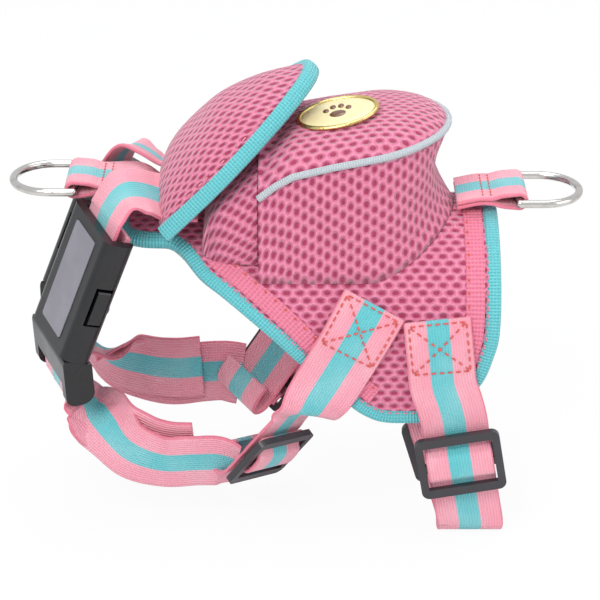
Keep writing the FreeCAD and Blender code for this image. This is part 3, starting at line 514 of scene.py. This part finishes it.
def edge_table(edge):
    """A smooth edge line as x against distance from the ridge, evenly cut."""
    rows = np.array([(x, s, 0) for x, s in edge], float)
    line, _ = spread(rows, 260)
    return line[:, 0], np.maximum.accumulate(line[:, 1] + np.arange(260) * 1e-6)


def saddle():
    """The padded saddle and its bound hem.

    At each distance from the ridge, x runs straight from the front edge line to the rear one.
    The face sinks towards its rim by the puff times an exponential of the distance to the rim,
    and a slow ripple, sine of x times sine of the distance, lies over the middle."""
    fx, fs = edge_table(FRONT_EDGE)
    rx, rs = edge_table(REAR_EDGE)
    lowest = min(fs[-1], rs[-1])
    half = np.concatenate([np.linspace(0, 14, 12)[:-1], np.linspace(14, 30, 26)[:-1],
                           np.linspace(30, lowest, 66)])
    arc = np.concatenate([-half[::-1], half[1:]])
    low = np.interp(np.abs(arc), fs, fx)
    high = np.interp(np.abs(arc), rs, rx)
    share = np.linspace(0, 1, 120)[None, :]
    x = low[:, None] * (1 - share) + high[:, None] * share
    s = np.broadcast_to(arc[:, None], x.shape)
    rim = np.minimum(np.minimum(x - low[:, None], high[:, None] - x), 12)
    rim = np.minimum(rim, np.maximum(lowest - np.abs(s), 0))
    puff = PUFF * (1 - np.exp(-rim / 3.0)) - PUFF
    wave = 0.25 * np.sin(x * 0.19 + 1.3) * np.sin(s * 0.14)
    top = skin(x, s, puff + wave * (rim > 3))
    under = skin(x, s, -PAD_DEPTH - 0.3 * puff)
    pad = sandwich("saddle_pad", top, under, x, s, [MESH, LINING])
    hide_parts("saddle_mesh", "saddle_lining")
    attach(pad, "harness")

    # the hem follows both edge lines and their mirror image, with its corners eased
    near = np.vstack([np.stack([fx, fs], 1), np.stack([rx, rs], 1)[::-1]])
    whole = np.vstack([near, near[::-1] * [1, -1]])
    keep = np.concatenate([[True], np.linalg.norm(np.diff(whole, axis=0), axis=1) > 0.05])
    whole = whole[keep]
    gone = running(np.vstack([whole, whole[:1]]))
    at = np.linspace(0, gone[-1], 900, endpoint=False)
    ring = np.stack([np.interp(at, gone, np.append(whole[:, j], whole[0, j])) for j in (0, 1)], 1)
    for _ in range(14):
        ring = (np.roll(ring, 1, 0) + 2 * ring + np.roll(ring, -1, 0)) / 4
    tangent = unit(np.roll(ring, -1, 0) - np.roll(ring, 1, 0))
    inward = np.stack([-tangent[:, 1], tangent[:, 0]], 1)
    if np.sum(inward * (ring.mean(0) - ring)) < 0:
        inward = -inward
    step = skin(ring[:, 0] + inward[:, 0] * 0.5, ring[:, 1] + inward[:, 1] * 0.5)
    centre = skin(ring[:, 0], ring[:, 1])
    across, out = unit(step - centre), skin_out(ring[:, 1])
    section = squarish((2.6, -2.1), (2.9, 2.6), 0.62)
    hem = outward(sweep("saddle_hem", centre, across, out, section, EDGING, closed=True))
    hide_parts("saddle_binding")
    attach(hem, "harness")
    return ring, inward


RING, INWARD = saddle()


def tape_and_stitches():
    """Flat tape inside the hem down the slanting front and the tail, sewn along one side."""
    tape_width, tape_thick, tape_inset, seam_inset = 7.0, 0.7, 9.3, 4.6
    paths, pale = [], []
    x, s = RING.T
    for name, choose in (("front", (INWARD[:, 0] > 0.12) & (np.abs(s) > 36) & (np.abs(s) < 93)),
                         ("rear", (INWARD[:, 0] < -0.8) & (np.abs(s) > 8) & (np.abs(s) < 84))):
        for side, way in SIDES.items():
            pick = np.where(choose & (s * way > 0))[0]
            line, turn = RING[pick], INWARD[pick]
            mid = line + turn * tape_inset
            centre = skin(mid[:, 0], mid[:, 1], 0.15)
            step = skin(mid[:, 0] + turn[:, 0] * 0.5, mid[:, 1] + turn[:, 1] * 0.5, 0.15)
            across, out = unit(step - centre), skin_out(mid[:, 1])
            tape = outward(sweep(f"{side}_{name}_tape", centre, across, out,
                                 strap_section(tape_width, tape_thick), PINK_TAPE))
            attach(tape, "harness")
            paths.append((centre + across * 2.4 + out * 0.45, out))
    pick = np.where(np.abs(s) > 26)[0]
    for way in SIDES.values():
        side = pick[s[pick] * way > 0]
        line = RING[side] + INWARD[side] * seam_inset
        pale.append((skin(line[:, 0], line[:, 1], 0.55), skin_out(line[:, 1])))
    for item in (stitches("tape_stitches", paths, STITCH, 1.3, 3.4, 0.4),
                 stitches("hem_stitches", pale, STITCH_PALE, 2.0, 0.9, 0.22)):
        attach(item, "harness")


tape_and_stitches()

# ---------------------------------------------------------------- bag


BAG_FRONT, BAG_HALF, BAG_REAR = -15.2, 32.3, 54.6
BAG_WALL, LID_DEPTH, CORD_RADIUS = 2.4, 2.6, 1.35


def rim_z(x):
    """Height of the corded rim: steep behind the front seam, then nearly level."""
    return np.interp(x, (-36, -16, -9, -2.5, 12, 25, 36, 45, 56),
                     (9.0, 17.0, 22.5, 26.2, 29.8, 32.4, 34.2, 35.6, 36.8))


def bag_plan(count, front, half, rear):
    """The bag from above: straight sides from the front, closed by a round rear."""
    turn = np.linspace(-90, 90, count // 2) * np.pi / 180
    shoulder = rear - half * 0.98
    bow = np.stack([shoulder + half * 0.98 * np.cos(turn), half * np.sin(turn)], 1)
    side = np.linspace(front, shoulder, count // 4, endpoint=False)
    near = np.stack([side, np.full(len(side), -half)], 1)
    return np.vstack([near, bow, (near * [1, -1])[::-1]])


def even(line, count):
    """The same line cut into points at even distances."""
    gone = running(line)
    at = np.linspace(0, gone[-1], count)
    return read_at(at, gone, line)


def bag():
    """Walls, cord, lid and front pillow of the bag.

    The walls rise from the saddle's circle to the rim and swell by a sine of the height.
    The lid draws the rim in to a middle line and lifts it by a power of the share drawn in.
    The pillow is a ridge that falls to the saddle at its front by a power of its length."""
    plan = even(bag_plan(240, BAG_FRONT, BAG_HALF, BAG_REAR), 240)
    tangent = unit(np.gradient(plan, axis=0))
    out2 = np.stack([tangent[:, 1], -tangent[:, 0]], 1)
    x, y = plan[:, 0], plan[:, 1]
    foot = AXIS + np.sqrt(np.maximum((RADIUS + 0.4) ** 2 - y ** 2, 0))
    top = rim_z(x) - 1.0
    share = np.linspace(0, 1, 42)[None, :]
    rear = np.clip((x - 30) / 24, 0, 1)[:, None] * np.clip(1 - np.abs(y[:, None]) / 30, 0, 1) ** 0.5
    swell = 1.6 * np.sin(np.pi * share) - rear * 6.0 * np.sin(np.pi * share) ** 1.4
    swell = swell + 3.2 * (1 - share) ** 5
    swell = swell + 0.5 * np.sin(x[:, None] * 0.35 + share * 7) * np.sin(np.pi * share)
    z = foot[:, None] + (top - foot)[:, None] * share
    outer = np.stack([x[:, None] + out2[:, :1] * swell, y[:, None] + out2[:, 1:] * swell, z], -1)
    beside = np.minimum(np.abs(outer[:, 0, 1]), 41)
    seat = AXIS + np.sqrt(np.maximum((RADIUS + 0.5) ** 2 - beside ** 2, 0))
    outer[:, 0, 2] = np.minimum(outer[:, 0, 2], seat)
    depth = out2 * BAG_WALL
    inner = outer - np.stack([depth[:, :1] + 0 * swell, depth[:, 1:] + 0 * swell, 0 * swell], -1)
    u = running(plan)[:, None] + 0 * share
    climb = np.cumsum(np.linalg.norm(np.diff(outer[:, ::-1], axis=1), axis=-1), 1)
    v = np.concatenate([0 * climb[:, :1], climb], 1)[:, ::-1]
    wall = sandwich("bag_wall", outer, inner, v, u, [MESH, LINING])
    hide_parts("bag_side_wall", "bag_base_flange")
    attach(wall, "harness")

    # the rim, with its grey cord all round
    turn = np.linspace(0, 2 * np.pi, 14, endpoint=False)
    cord = np.stack([CORD_RADIUS * np.cos(turn), CORD_RADIUS * np.sin(turn)], 1)
    path = np.stack([x + out2[:, 0] * 0.4, y + out2[:, 1] * 0.4, rim_z(x) + 0.2], 1)
    run = unit(np.gradient(path, axis=0))
    up = np.tile([-0.25, 0, 0.97], (len(path), 1))
    side = unit(np.cross(run, up))
    made = outward(sweep("bag_cord", path, side, np.cross(side, run), cord, PIPING))
    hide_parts("bag_piping")
    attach(made, "harness")

    # the lid
    rows = np.linspace(0, 1, 44)
    mid = np.stack([np.clip(x, BAG_FRONT, 22.0), 0 * y], 1)
    inner2 = plan + (mid - plan) * rows[:, None, None]
    rise = 9.4 * (1 - (1 - rows) ** 2.4) ** 0.7
    ahead = np.clip((inner2[..., 0] + 2.0) / 26, 0, 1)
    lift = rim_z(np.maximum(inner2[..., 0], BAG_FRONT + 12 * rows[:, None])) + 0.6
    lift = lift + rise[:, None] * (1.25 - 0.25 * ahead)
    dent = 0.5 * np.sin(inner2[..., 0] * 0.13 + 0.5) * np.cos(inner2[..., 1] * 0.1) * rows[:, None]
    lid = np.concatenate([inner2, (lift + dent)[..., None]], -1)
    under = lid - np.array([-0.5, 0, LID_DEPTH])
    ease = 1.05
    top = sandwich("bag_lid", lid, under, inner2[..., 0] * ease, inner2[..., 1] * ease,
                   [MESH, LINING])
    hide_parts("bag_top_panel")
    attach(top, "harness")

    # the soft pillow that fills the front, from the seam to the flap's fold
    across = np.linspace(-1, 1, 121)
    long = np.linspace(0, 1, 40)
    a, b = np.meshgrid(across, long, indexing="ij")
    far = np.abs(a)
    x2 = -15.4 - 20.8 * b
    wide = 31.2 * (1 - 0.10 * b ** 4)
    side = np.clip((far - 0.55) / 0.45, 0, 1)
    y2 = np.sign(a) * wide * np.minimum(far / 0.55, 1)
    belly = np.sin(np.pi * np.clip(b * 1.1 + 0.1, 0, 1)) ** 0.5
    y2 = y2 + np.sign(a) * 1.5 * np.sin(np.pi * side) * belly
    base = AXIS + np.sqrt((RADIUS + 0.6) ** 2 - wide ** 2)
    fall = np.clip(1 - b ** 7, 0, 1) ** 0.5
    crown = np.clip(1 - (far / 0.56) ** 2.2, 0, 1) ** 0.65
    ridge = rim_z(x2) - 0.5 + (12.5 - 6.5 * b) * crown
    ridge = base + (ridge - base) * fall
    flank = base + (rim_z(x2) - 0.5 - base) * fall * (1 - side)
    z2 = np.where(side > 0, flank, ridge)
    pillow = np.stack([x2, y2, z2 + 0.05], -1)
    inner3 = pillow * [1, 0.93, 1]
    inner3[..., 2] = np.maximum(pillow[..., 2] - 2.5, base - 0.1)
    steps = np.linalg.norm(np.diff(pillow, axis=0), axis=-1)
    gone = np.concatenate([np.zeros((1, 40)), np.cumsum(steps, 0)])
    front = sandwich("bag_pillow", pillow, inner3, x2, gone - gone[60], [MESH_ROUND, LINING])
    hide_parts("bag_front_wall")
    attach(front, "harness")


bag()

# ---------------------------------------------------------------- flap

ALONG = np.array([np.cos(FLAP_SLANT), 0, np.sin(FLAP_SLANT)])
UP = np.array([-np.sin(FLAP_SLANT), 0, np.cos(FLAP_SLANT)])
FOOT = np.array([-48.0, 0, 2.5])
FLAP_LONG, FLAP_HALF, FLAP_RISE, FLAP_DEPTH = 76, 35.0, 18.3, 3.2


def flap():
    """The domed flap, its turquoise edge and its seam.

    Arches stand across a slanting plane. The table gives each one's place, half width and
    rise as shares; its points go by the sine across and a power of the cosine up."""
    table = np.array([(0.00, 1.000, 0.42), (0.085, 1.000, 0.72), (0.19, 0.985, 0.90),
                      (0.37, 0.930, 1.00), (0.56, 0.800, 0.97), (0.75, 0.610, 0.74),
                      (0.89, 0.400, 0.47), (0.97, 0.220, 0.31), (1.00, 0.06, 0.24)])
    rows, _ = spread(table * (FLAP_LONG, FLAP_HALF, FLAP_RISE), 96)
    share, half, rise = rows.T
    angle = np.linspace(-np.pi / 2, np.pi / 2, 110)
    sy = np.sin(angle)[None, :]
    cz = np.abs(np.cos(angle))[None, :] ** 0.82
    origin = FOOT + share[:, None] * ALONG

    def shell(less):
        h, r = np.maximum(half - less, 0.8), np.maximum(rise - less, 0.5)
        return (origin[:, None] + np.array([0, 1, 0]) * (h[:, None] * sy)[..., None]
                + UP * (r[:, None] * cz)[..., None])

    outer = shell(0)
    ripple = 0.35 * np.sin(share[:, None] * 0.3 + 2) * np.cos(angle * 3)[None, :] * cz
    outer = outer + UP * ripple[..., None]
    inner = shell(FLAP_DEPTH)
    u = share[:, None] + 0 * sy
    v = half[:, None] * angle[None, :]
    made = sandwich("flap_hood", outer, inner, u, v, [MESH, LINING])
    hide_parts("flap_shell", "flap_root")

    # the turquoise edge, from one foot over the tip to the other
    line = np.vstack([outer[:, 0], outer[::-1, -1]])
    keep = np.concatenate([[True], np.linalg.norm(np.diff(line, axis=0), axis=1) > 0.05])
    inside = np.vstack([outer[:, 6], outer[::-1, -7]])[keep]
    line = line[keep]
    gone = running(line)
    at = np.linspace(0, gone[-1], 300)
    line, inside = read_at(at, gone, line), read_at(at, gone, inside)
    for _ in range(10):
        line[1:-1] = (line[:-2] + 2 * line[1:-1] + line[2:]) / 4
        inside[1:-1] = (inside[:-2] + 2 * inside[1:-1] + inside[2:]) / 4
    run = unit(np.gradient(line, axis=0))
    across = unit(inside - line)
    across = unit(across - run * np.sum(run * across, 1, keepdims=True))
    out = np.cross(run, across)
    lean = out * np.array([0, 1, 0]) * line[:, 1:2] + out * UP * 6
    out *= np.sign(np.sum(lean, 1, keepdims=True))
    section = squarish((2.7, -1.6), (3.2, 2.3), 0.7)
    hem = outward(sweep("flap_edge", line, across, out, section, EDGING))
    seam = line + across * 7.0 + out * 0.35
    row = stitches("flap_stitches", [(seam[8:105], out[8:105]), (seam[195:292], out[195:292])],
                   STITCH_PALE, 2.0, 0.8, 0.25)
    for item in (made, hem, row):
        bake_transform(item)


flap()

# ---------------------------------------------------------------- straps


def slider_axes(which, side):
    """A slider's centre, width direction, running direction and outward face."""
    if which == "front":
        place = np.array([-11.3, 37.0 * side, -85.7])
        across, run = np.array([0.61, -0.757 * side, -0.245]), np.array([-0.57, -0.2 * side, -0.80])
    elif side < 0:
        place = np.array([60.0, -47.8, -83.0])
        across, run = np.array([0.985, 0, 0.171]), np.array([0.171, 0, -0.985])
    else:
        place = np.array([56.8, -29.9, -84.0])
        across, run = np.array([0.956, 0, 0.291]), np.array([0.291, -0.06, -0.955])
    run, across = unit(run), unit(across)
    face = np.cross(across, run)
    want = np.array([0, side if which == "front" else (1 if side > 0 else -1), 0])
    return place, across, run, face if face @ want > 0 else -face


def on_slider(which, side, along, out):
    """A place measured from a slider, along its strap and out of its face."""
    place, _, run, face = slider_axes(which, side)
    return place + run * along + face * out


def row(point, hint):
    """A strap row: place, then width direction."""
    return [*point, *hint]


def flip(rows, side):
    """The rows as written for the near side, or their mirror image."""
    rows = np.array(rows, float)
    if side > 0:
        rows[:, [1, 4]] *= -1
    return rows


NECK = [
    (-38.0, -14.0, 10.4, 0.00, -0.94, -0.34), (-41.0, -14.2, 10.5, 0.00, -0.94, -0.34),
    (-46.0, -14.8, 10.8, -0.03, -0.94, -0.34), (-52.0, -16.8, 12.4, 0.09, -0.94, -0.34),
    (-57.5, -19.6, 15.4, 0.20, -0.92, -0.33), (-62.5, -22.6, 16.9, 0.27, -0.91, -0.33),
    (-66.6, -25.0, 15.4, 0.33, -0.92, -0.21), (-70.0, -27.3, 11.0, 0.42, -0.89, -0.16),
    (-71.4, -27.8, 7.8, 0.42, -0.89, -0.16), (-73.6, -27.8, 2.1, 0.42, -0.89, -0.16),
    (-73.8, -27.6, 0.7, 0.42, -0.89, -0.16), (-73.3, -27.2, -0.6, 0.42, -0.89, -0.16),
    (-72.3, -26.6, -1.4, 0.42, -0.89, -0.16), (-71.0, -25.9, -1.5, 0.42, -0.89, -0.16),
    (-69.8, -25.5, -0.9, 0.42, -0.89, -0.16), (-69.0, -25.3, 0.3, 0.42, -0.89, -0.16),
    (-67.0, -25.3, 5.5, 0.42, -0.89, -0.16),
]
PLUG_LOOP = [
    (-86.4, -22.3, -60.2, 0.42, -0.89, -0.16), (-86.5, -23.4, -55.4, 0.42, -0.89, -0.16),
    (-86.9, -23.8, -54.1, 0.42, -0.89, -0.16), (-87.8, -24.4, -53.2, 0.42, -0.89, -0.16),
    (-89.1, -25.1, -53.0, 0.42, -0.89, -0.16), (-90.3, -25.6, -53.5, 0.42, -0.89, -0.16),
    (-91.2, -25.8, -54.6, 0.42, -0.89, -0.16), (-91.5, -25.7, -56.0, 0.42, -0.89, -0.16),
    (-91.3, -24.7, -60.5, 0.42, -0.89, -0.16),
]
CHEST_OUTER = [
    (-88.7, -22.9, -63.2, 0.42, -0.89, -0.16), (-88.4, -22.9, -66.0, 0.42, -0.88, -0.20),
    (-81.2, -23.9, -69.0, 0.38, -0.80, -0.40), (-74.6, -28.9, -75.0, 0.28, -0.50, -0.80),
    (-65.3, -34.2, -84.0, 0.10, -0.05, -0.99), (-52.7, -36.3, -88.2, 0.00, 0.20, -0.98),
    (-40.1, -37.5, -87.4, 0.00, 0.25, -0.97), (-31.2, -37.9, -87.1, 0.04, 0.25, -0.97),
    (-24.0, -38.0, -88.5, 0.20, 0.45, -0.87),
]
CHEST_INNER = [
    (-84.0, -24.0, -69.8, 0.40, -0.84, -0.33), (-77.0, -26.2, -73.6, 0.30, -0.60, -0.74),
    (-71.2, -28.4, -77.0, 0.20, -0.28, -0.93), (-64.7, -31.0, -80.0, 0.10, -0.05, -0.99),
    (-56.6, -32.4, -82.5, 0.02, 0.14, -0.99), (-48.2, -33.5, -83.5, -0.01, 0.23, -0.97),
    (-39.9, -34.5, -83.2, 0.00, 0.25, -0.97),
]
GIRTH = [
    (50.2, -41.6, -26.3), (51.0, -43.4, -33.9), (52.0, -43.8, -43.0), (53.0, -44.0, -52.0),
    (55.6, -44.2, -60.0), (57.4, -44.1, -67.0), (58.6, -44.0, -75.0), (61.0, -44.0, -88.8),
    (63.2, -44.0, -101.5), (64.7, -43.9, -110.1), (64.7, -43.3, -112.4), (64.7, -41.8, -113.9),
    (64.7, -39.6, -114.5), (64.7, -37.5, -113.9), (64.7, -36.0, -112.4), (64.7, -35.5, -110.1),
    (63.7, -35.3, -106.7), (60.2, -34.6, -95.2), (56.5, -33.8, -83.0), (52.8, -33.0, -70.9),
    (52.0, -32.0, -68.1), (51.6, -28.0, -66.6), (51.7, -22.5, -65.8), (52.4, -10.0, -68.0),
    (53.2, 5.0, -71.5), (54.0, 22.0, -74.2), (54.6, 34.0, -75.0), (54.9, 40.0, -74.0),
    (55.0, 43.6, -70.5), (54.6, 43.9, -60.0), (52.0, 43.9, -48.0), (51.0, 43.5, -33.9),
    (50.2, 41.6, -26.3),
]


def shoulder_rows(side):
    """From high on the saddle's flank down to the slider, along its back, and curled under."""
    rows = []
    for x, arc in (
            (27.4, 49), (24.6, 54), (21.8, 59), (19.0, 64), (16.2, 69), (13.4, 74), (10.6, 79)
    ):
        place = skin(np.array(x), np.array(side * arc * 1.0), 1.5)
        below = skin(np.array(0), np.array(side * (arc + 1.0)))
        down = unit(below - skin(np.array(0), np.array(side * arc)))
        rows.append(row(place, np.array([0.87, 0, 0]) + 0.49 * down))
    across = slider_axes("front", side)[1]
    across = across if across[0] > 0 else -across
    slant = np.array([0.87, 0, -0.49])
    rows.append(row((6.5, side * 44.2, -57.5), slant * 0.85 + across * 0.15))
    rows.append(row((2.8, side * 43.6, -63.5), slant * 0.5 + across * 0.5))
    for along, out in ((-20.5, -4.4), (-10, -4.4), (0, -4.4), (11.0, -4.4), (14.5, -5.6), (16.2, -8.4),
                       (14.8, -11.2), (11.0, -12.4), (5.0, -12.6)):
        rows.append(row(on_slider("front", side, along, out), across))
    return rows


def end_rows(which, side):
    """The strap end over a slider's middle bar and under its two outer ones."""
    over = 2.15
    across = slider_axes(which, side)[1]
    across = across if across[0] > 0 else -across
    profile = (
        (-10.4, -over), (-8.3, -over + 0.15), (-6.6, -over * 0.7), (-5.3, 0.0),
        (-4.2, over * 0.7), (-2.7, over), (0, over + 0.15), (2.7, over), (4.2, over * 0.7),
        (5.3, 0.0), (6.6, -over * 0.7), (8.3, -over + 0.15), (10.4, -over),
    )
    return [row(on_slider(which, side, a, b), across) for a, b in profile]


def box_stitch(name, centre, across, out, from_at, to_at, half, side):
    """A sewn square with both diagonals, laid on a strap between two distances along it."""
    gone = running(centre)

    def place(along, over):
        face = unit(read_at(along, gone, out))
        face = face * np.sign(np.sum(face * np.array([0, side, 0.2]), 1, keepdims=True))
        wide = unit(read_at(along, gone, across))
        return read_at(along, gone, centre) + wide * over[:, None] + face, face

    t = np.linspace(0, 1, 30)
    a, b = from_at, to_at
    ways = [(a + 0 * t, half * (2 * t - 1)), (b + 0 * t, half * (2 * t - 1)),
            (a + (b - a) * t, half + 0 * t), (a + (b - a) * t, -half + 0 * t),
            (a + (b - a) * t, half * (2 * t - 1)), (a + (b - a) * t, half * (1 - 2 * t))]
    made = stitches(name, [place(*w) for w in ways], STITCH, 2.0, 0.9, 0.36)
    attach(made, "harness")


def straps():
    """All webbing but the ring tabs, each length but the chest straps on the body that carries it."""
    for name, side in SIDES.items():
        neck, *_ = strap(f"{name}_neck_webbing", flip(NECK, side), 110, [f"{name}_neck_strap"])
        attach(neck, "harness")
        loop, *_ = strap(f"{name}_plug_webbing", flip(PLUG_LOOP, side), 60, [f"{name}_plug_loop"])
        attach(loop, f"{name}_plug")
        outer, *_ = strap(f"{name}_chest_webbing", flip(CHEST_OUTER, side), 130,
                          [f"{name}_chest_strap"])
        inner, *_ = strap(f"{name}_chest_under", flip(CHEST_INNER, side), 90,
                          [f"{name}_chest_return"])
        for item in (outer, inner):
            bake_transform(item)
        made, centre, across, out = strap(f"{name}_shoulder_webbing", shoulder_rows(side), 150,
                                          [f"{name}_shoulder_strap"])
        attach(made, "harness")
        box_stitch(f"{name}_shoulder_box", centre, across, out, 1.5, 21.5, 10.6, side)
        for which, body in (("front", f"{name}_front_slider"), ("girth", f"{name}_girth_slider")):
            end, *_ = strap(f"{name}_{which}_end_webbing", end_rows(which, side), 60,
                            [f"{name}_{which}_end_loop"])
            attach(end, body)
    rows = [(*p, 1, 0, 0) for p in GIRTH]
    made, centre, across, out = strap("belly_webbing", rows, 300, ["girth_strap"])
    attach(made, "harness")
    length = running(centre)[-1]
    box_stitch("near_belly_box", centre, across, out, 1.5, 20.5, 10.6, -1)
    box_stitch("far_belly_box", centre, across, out, length - 20.5, length - 1.5, 10.6, 1)


straps()


def ring_tab(name, bar, height, toward, level, tail, drop, node):
    """Webbing folded round the ring's bar: a snug eye, then two layers pressed flat."""
    turn = np.linspace(90, 270, 9) * np.pi / 180
    radius = 2.7
    eye = [(bar + toward * radius * np.cos(a), height + radius * np.sin(a)) for a in turn]
    end, bend = bar + toward * tail, bar + toward * level
    top = [(end, height - drop + 0.85), (bend, height + 0.85), (bar + toward * 10, height + 1.0),
           (bar + toward * 6, height + 2.1)]
    low = [(bar + toward * 6, height - 2.1), (bar + toward * 10, height - 1.0), (bend, height - 0.85),
           (end, height - drop - 0.85)]
    rows = [(x, 0, z, 0, 1, 0) for x, z in top + eye + low]
    made, *_ = strap(name, rows, 90, [node])
    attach(made, "harness")
    t = np.linspace(-11, 11, 30)
    for off in (10.5, 13.5):
        line = np.stack([bar + toward * off + 0 * t, t, height + 1.9 + 0 * t], 1)
        up = np.tile([0.0, 0, 1], (30, 1))
        item = stitches(f"{name}_seam_{int(off)}", [(line, up)], STITCH, 1.8, 0.9, 0.3)
        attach(item, "harness")


ring_tab("front_tab_webbing", -84.0, 13.0, 1, 24, 33, 6.4, "front_ring_tab")
ring_tab("rear_tab_webbing", 81.5, 8.3, -1, 15, 23, 1.7, "rear_ring_tab")


def badge():
    """An oval dome in a raised rim, with a rounded paw of five low domes on it."""
    tilt_x = unit(np.array([0.975, 0, 0.2]))
    up = unit(np.array([-0.2, -0.20, 0.96]))
    side = unit(np.cross(up, tilt_x))
    centre = np.array([14.0, -8.6, 41.6])

    def dome(name, ovals, lift, high, stuff, steps=8, count=48):
        turn = np.linspace(0, 2 * np.pi, count, endpoint=False)
        level = np.linspace(0, 1, steps)[:-1]
        points, faces = [], []
        for u, v, a, b in ovals:
            base = len(points)
            reach, rise = np.cos(level * np.pi / 2), np.sin(level * np.pi / 2) * high
            ring = (centre + up * (lift + rise)[:, None, None]
                    + tilt_x * (u + a * reach[:, None] * np.cos(turn))[..., None]
                    + side * (v + b * reach[:, None] * np.sin(turn))[..., None])
            foot = ring[:1] - up * 1.2
            points.extend(np.vstack([foot, ring]).reshape(-1, 3).tolist())
            faces.extend((quads(steps, count, False, True) + base).tolist())
            faces.append([base + k for k in range(count)][::-1])
            faces.append([base + (steps - 1) * count + k for k in range(count)])
        uvs = np.zeros((sum(len(f) for f in faces), 2))
        made = outward(piece(name, np.array(points), faces, uvs, [stuff]))
        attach(made, "harness")
        return made

    plate = dome("badge_plate", [(0, 0, 14.2, 9.2)], 0.6, 0.9, BADGE)
    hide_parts("emblem_plate")
    turn = np.linspace(0, 2 * np.pi, 96, endpoint=False)
    path = (centre + up * 0.7 + tilt_x * (14.6 * np.cos(turn))[:, None]
            + side * (9.6 * np.sin(turn))[:, None])
    run = unit(np.roll(path, -1, 0) - np.roll(path, 1, 0))
    lift = np.tile(up, (96, 1))
    bead = np.linspace(0, 2 * np.pi, 12, endpoint=False)
    ring = outward(sweep("badge_rim", path, np.cross(run, lift), lift,
                         np.stack([0.9 * np.cos(bead), 0.75 * np.sin(bead)], 1), BADGE_RIM, closed=True))
    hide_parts("emblem_rim")
    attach(ring, "harness")
    dome("badge_paw", [(0, -1.8, 3.2, 2.3), (-4.2, 1.2, 1.2, 1.5), (-1.5, 3.0, 1.2, 1.6),
                       (1.5, 3.0, 1.2, 1.6), (4.2, 1.2, 1.2, 1.5)], 1.35, 0.5, PAW, 6, 24)


badge()

# ---------------------------------------------------------------- kept parts

FINISH = {
    "buckle_socket": BUCKLE, "buckle_plug": BUCKLE, "prong": BUCKLE, "buckle_plate": FACE_PLATE,
    "slider": SLIDER, "d_ring": WIRE,
}
for name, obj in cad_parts.items():
    for key, finish in FINISH.items():
        if key in name and not obj.hide_render:
            obj.data.materials.clear()
            obj.data.materials.append(finish)

# ---------------------------------------------------------------- studio


def studio():
    """A pale floor that keeps its shadow, a white surround, three lamps and the camera."""
    floor_z = CAD_BOX[0][2] - 0.0008
    mesh = bpy.data.meshes.new("floor")
    corners = [(x, y, floor_z) for x, y in ((-4, -4), (4, -4), (4, 4), (-4, 4))]
    mesh.from_pydata(corners, [], [(0, 1, 2, 3)])
    floor = bpy.data.objects.new("floor", mesh)
    bpy.context.scene.collection.objects.link(floor)
    made, tree, base = material("floor pale", Roughness=0.95)
    base.inputs["Base Color"].default_value = colour("#F4F4F4")
    path = add(tree, "ShaderNodeLightPath")
    glow = add(tree, "ShaderNodeEmission", Color=colour(WHITE), Strength=1.0)
    seen = maths(tree, "MULTIPLY", path.outputs["Is Camera Ray"], 0.93)
    blend = add(tree, "ShaderNodeMixShader", i0=seen, i1=base.outputs[0], i2=glow.outputs[0])
    out = next(n for n in tree.nodes if n.type == "OUTPUT_MATERIAL")
    tree.links.new(blend.outputs[0], out.inputs[0])
    mesh.materials.append(made)

    world = bpy.data.worlds.new("studio")
    world.use_nodes = True
    tree = world.node_tree
    ground = tree.nodes["Background"]
    ground.inputs[0].default_value = colour("#EDF0F4")
    path = add(tree, "ShaderNodeLightPath")
    bright = maths(tree, "MAXIMUM", path.outputs["Is Camera Ray"], path.outputs["Is Glossy Ray"])
    strength = maths(tree, "MULTIPLY_ADD", bright, 0.42, 0.58)
    tree.links.new(strength, ground.inputs[1])
    bpy.context.scene.world = world

    target = Vector((0, 0, -0.03))
    for name, place, size, power in (("key", (-0.5, -1.1, 1.2), 0.8, 15.5),
                                     ("fill", (1.2, -0.6, 0.5), 1.0, 5.0),
                                     ("top", (0.1, 0.3, 1.4), 0.9, 9.0)):
        data = bpy.data.lights.new(name, "AREA")
        data.size, data.energy = size, power
        lamp = bpy.data.objects.new(name, data)
        lamp.location = place
        lamp.rotation_euler = (target - lamp.location).to_track_quat("-Z", "Y").to_euler()
        bpy.context.scene.collection.objects.link(lamp)

    data = bpy.data.cameras.new("camera")
    data.sensor_width, data.lens = 36.0, 137.3
    camera = bpy.data.objects.new("camera", data)
    target = Vector((0, 0, -0.0376))
    lift = np.radians(25.0)
    camera.location = target + 0.88 * Vector((0, -np.cos(lift), np.sin(lift)))
    camera.rotation_euler = (target - camera.location).to_track_quat("-Z", "Y").to_euler()
    data.clip_start = 0.01
    bpy.context.scene.collection.objects.link(camera)
    bpy.context.scene.camera = camera
    bpy.context.scene.view_settings.view_transform = "Standard"


studio()
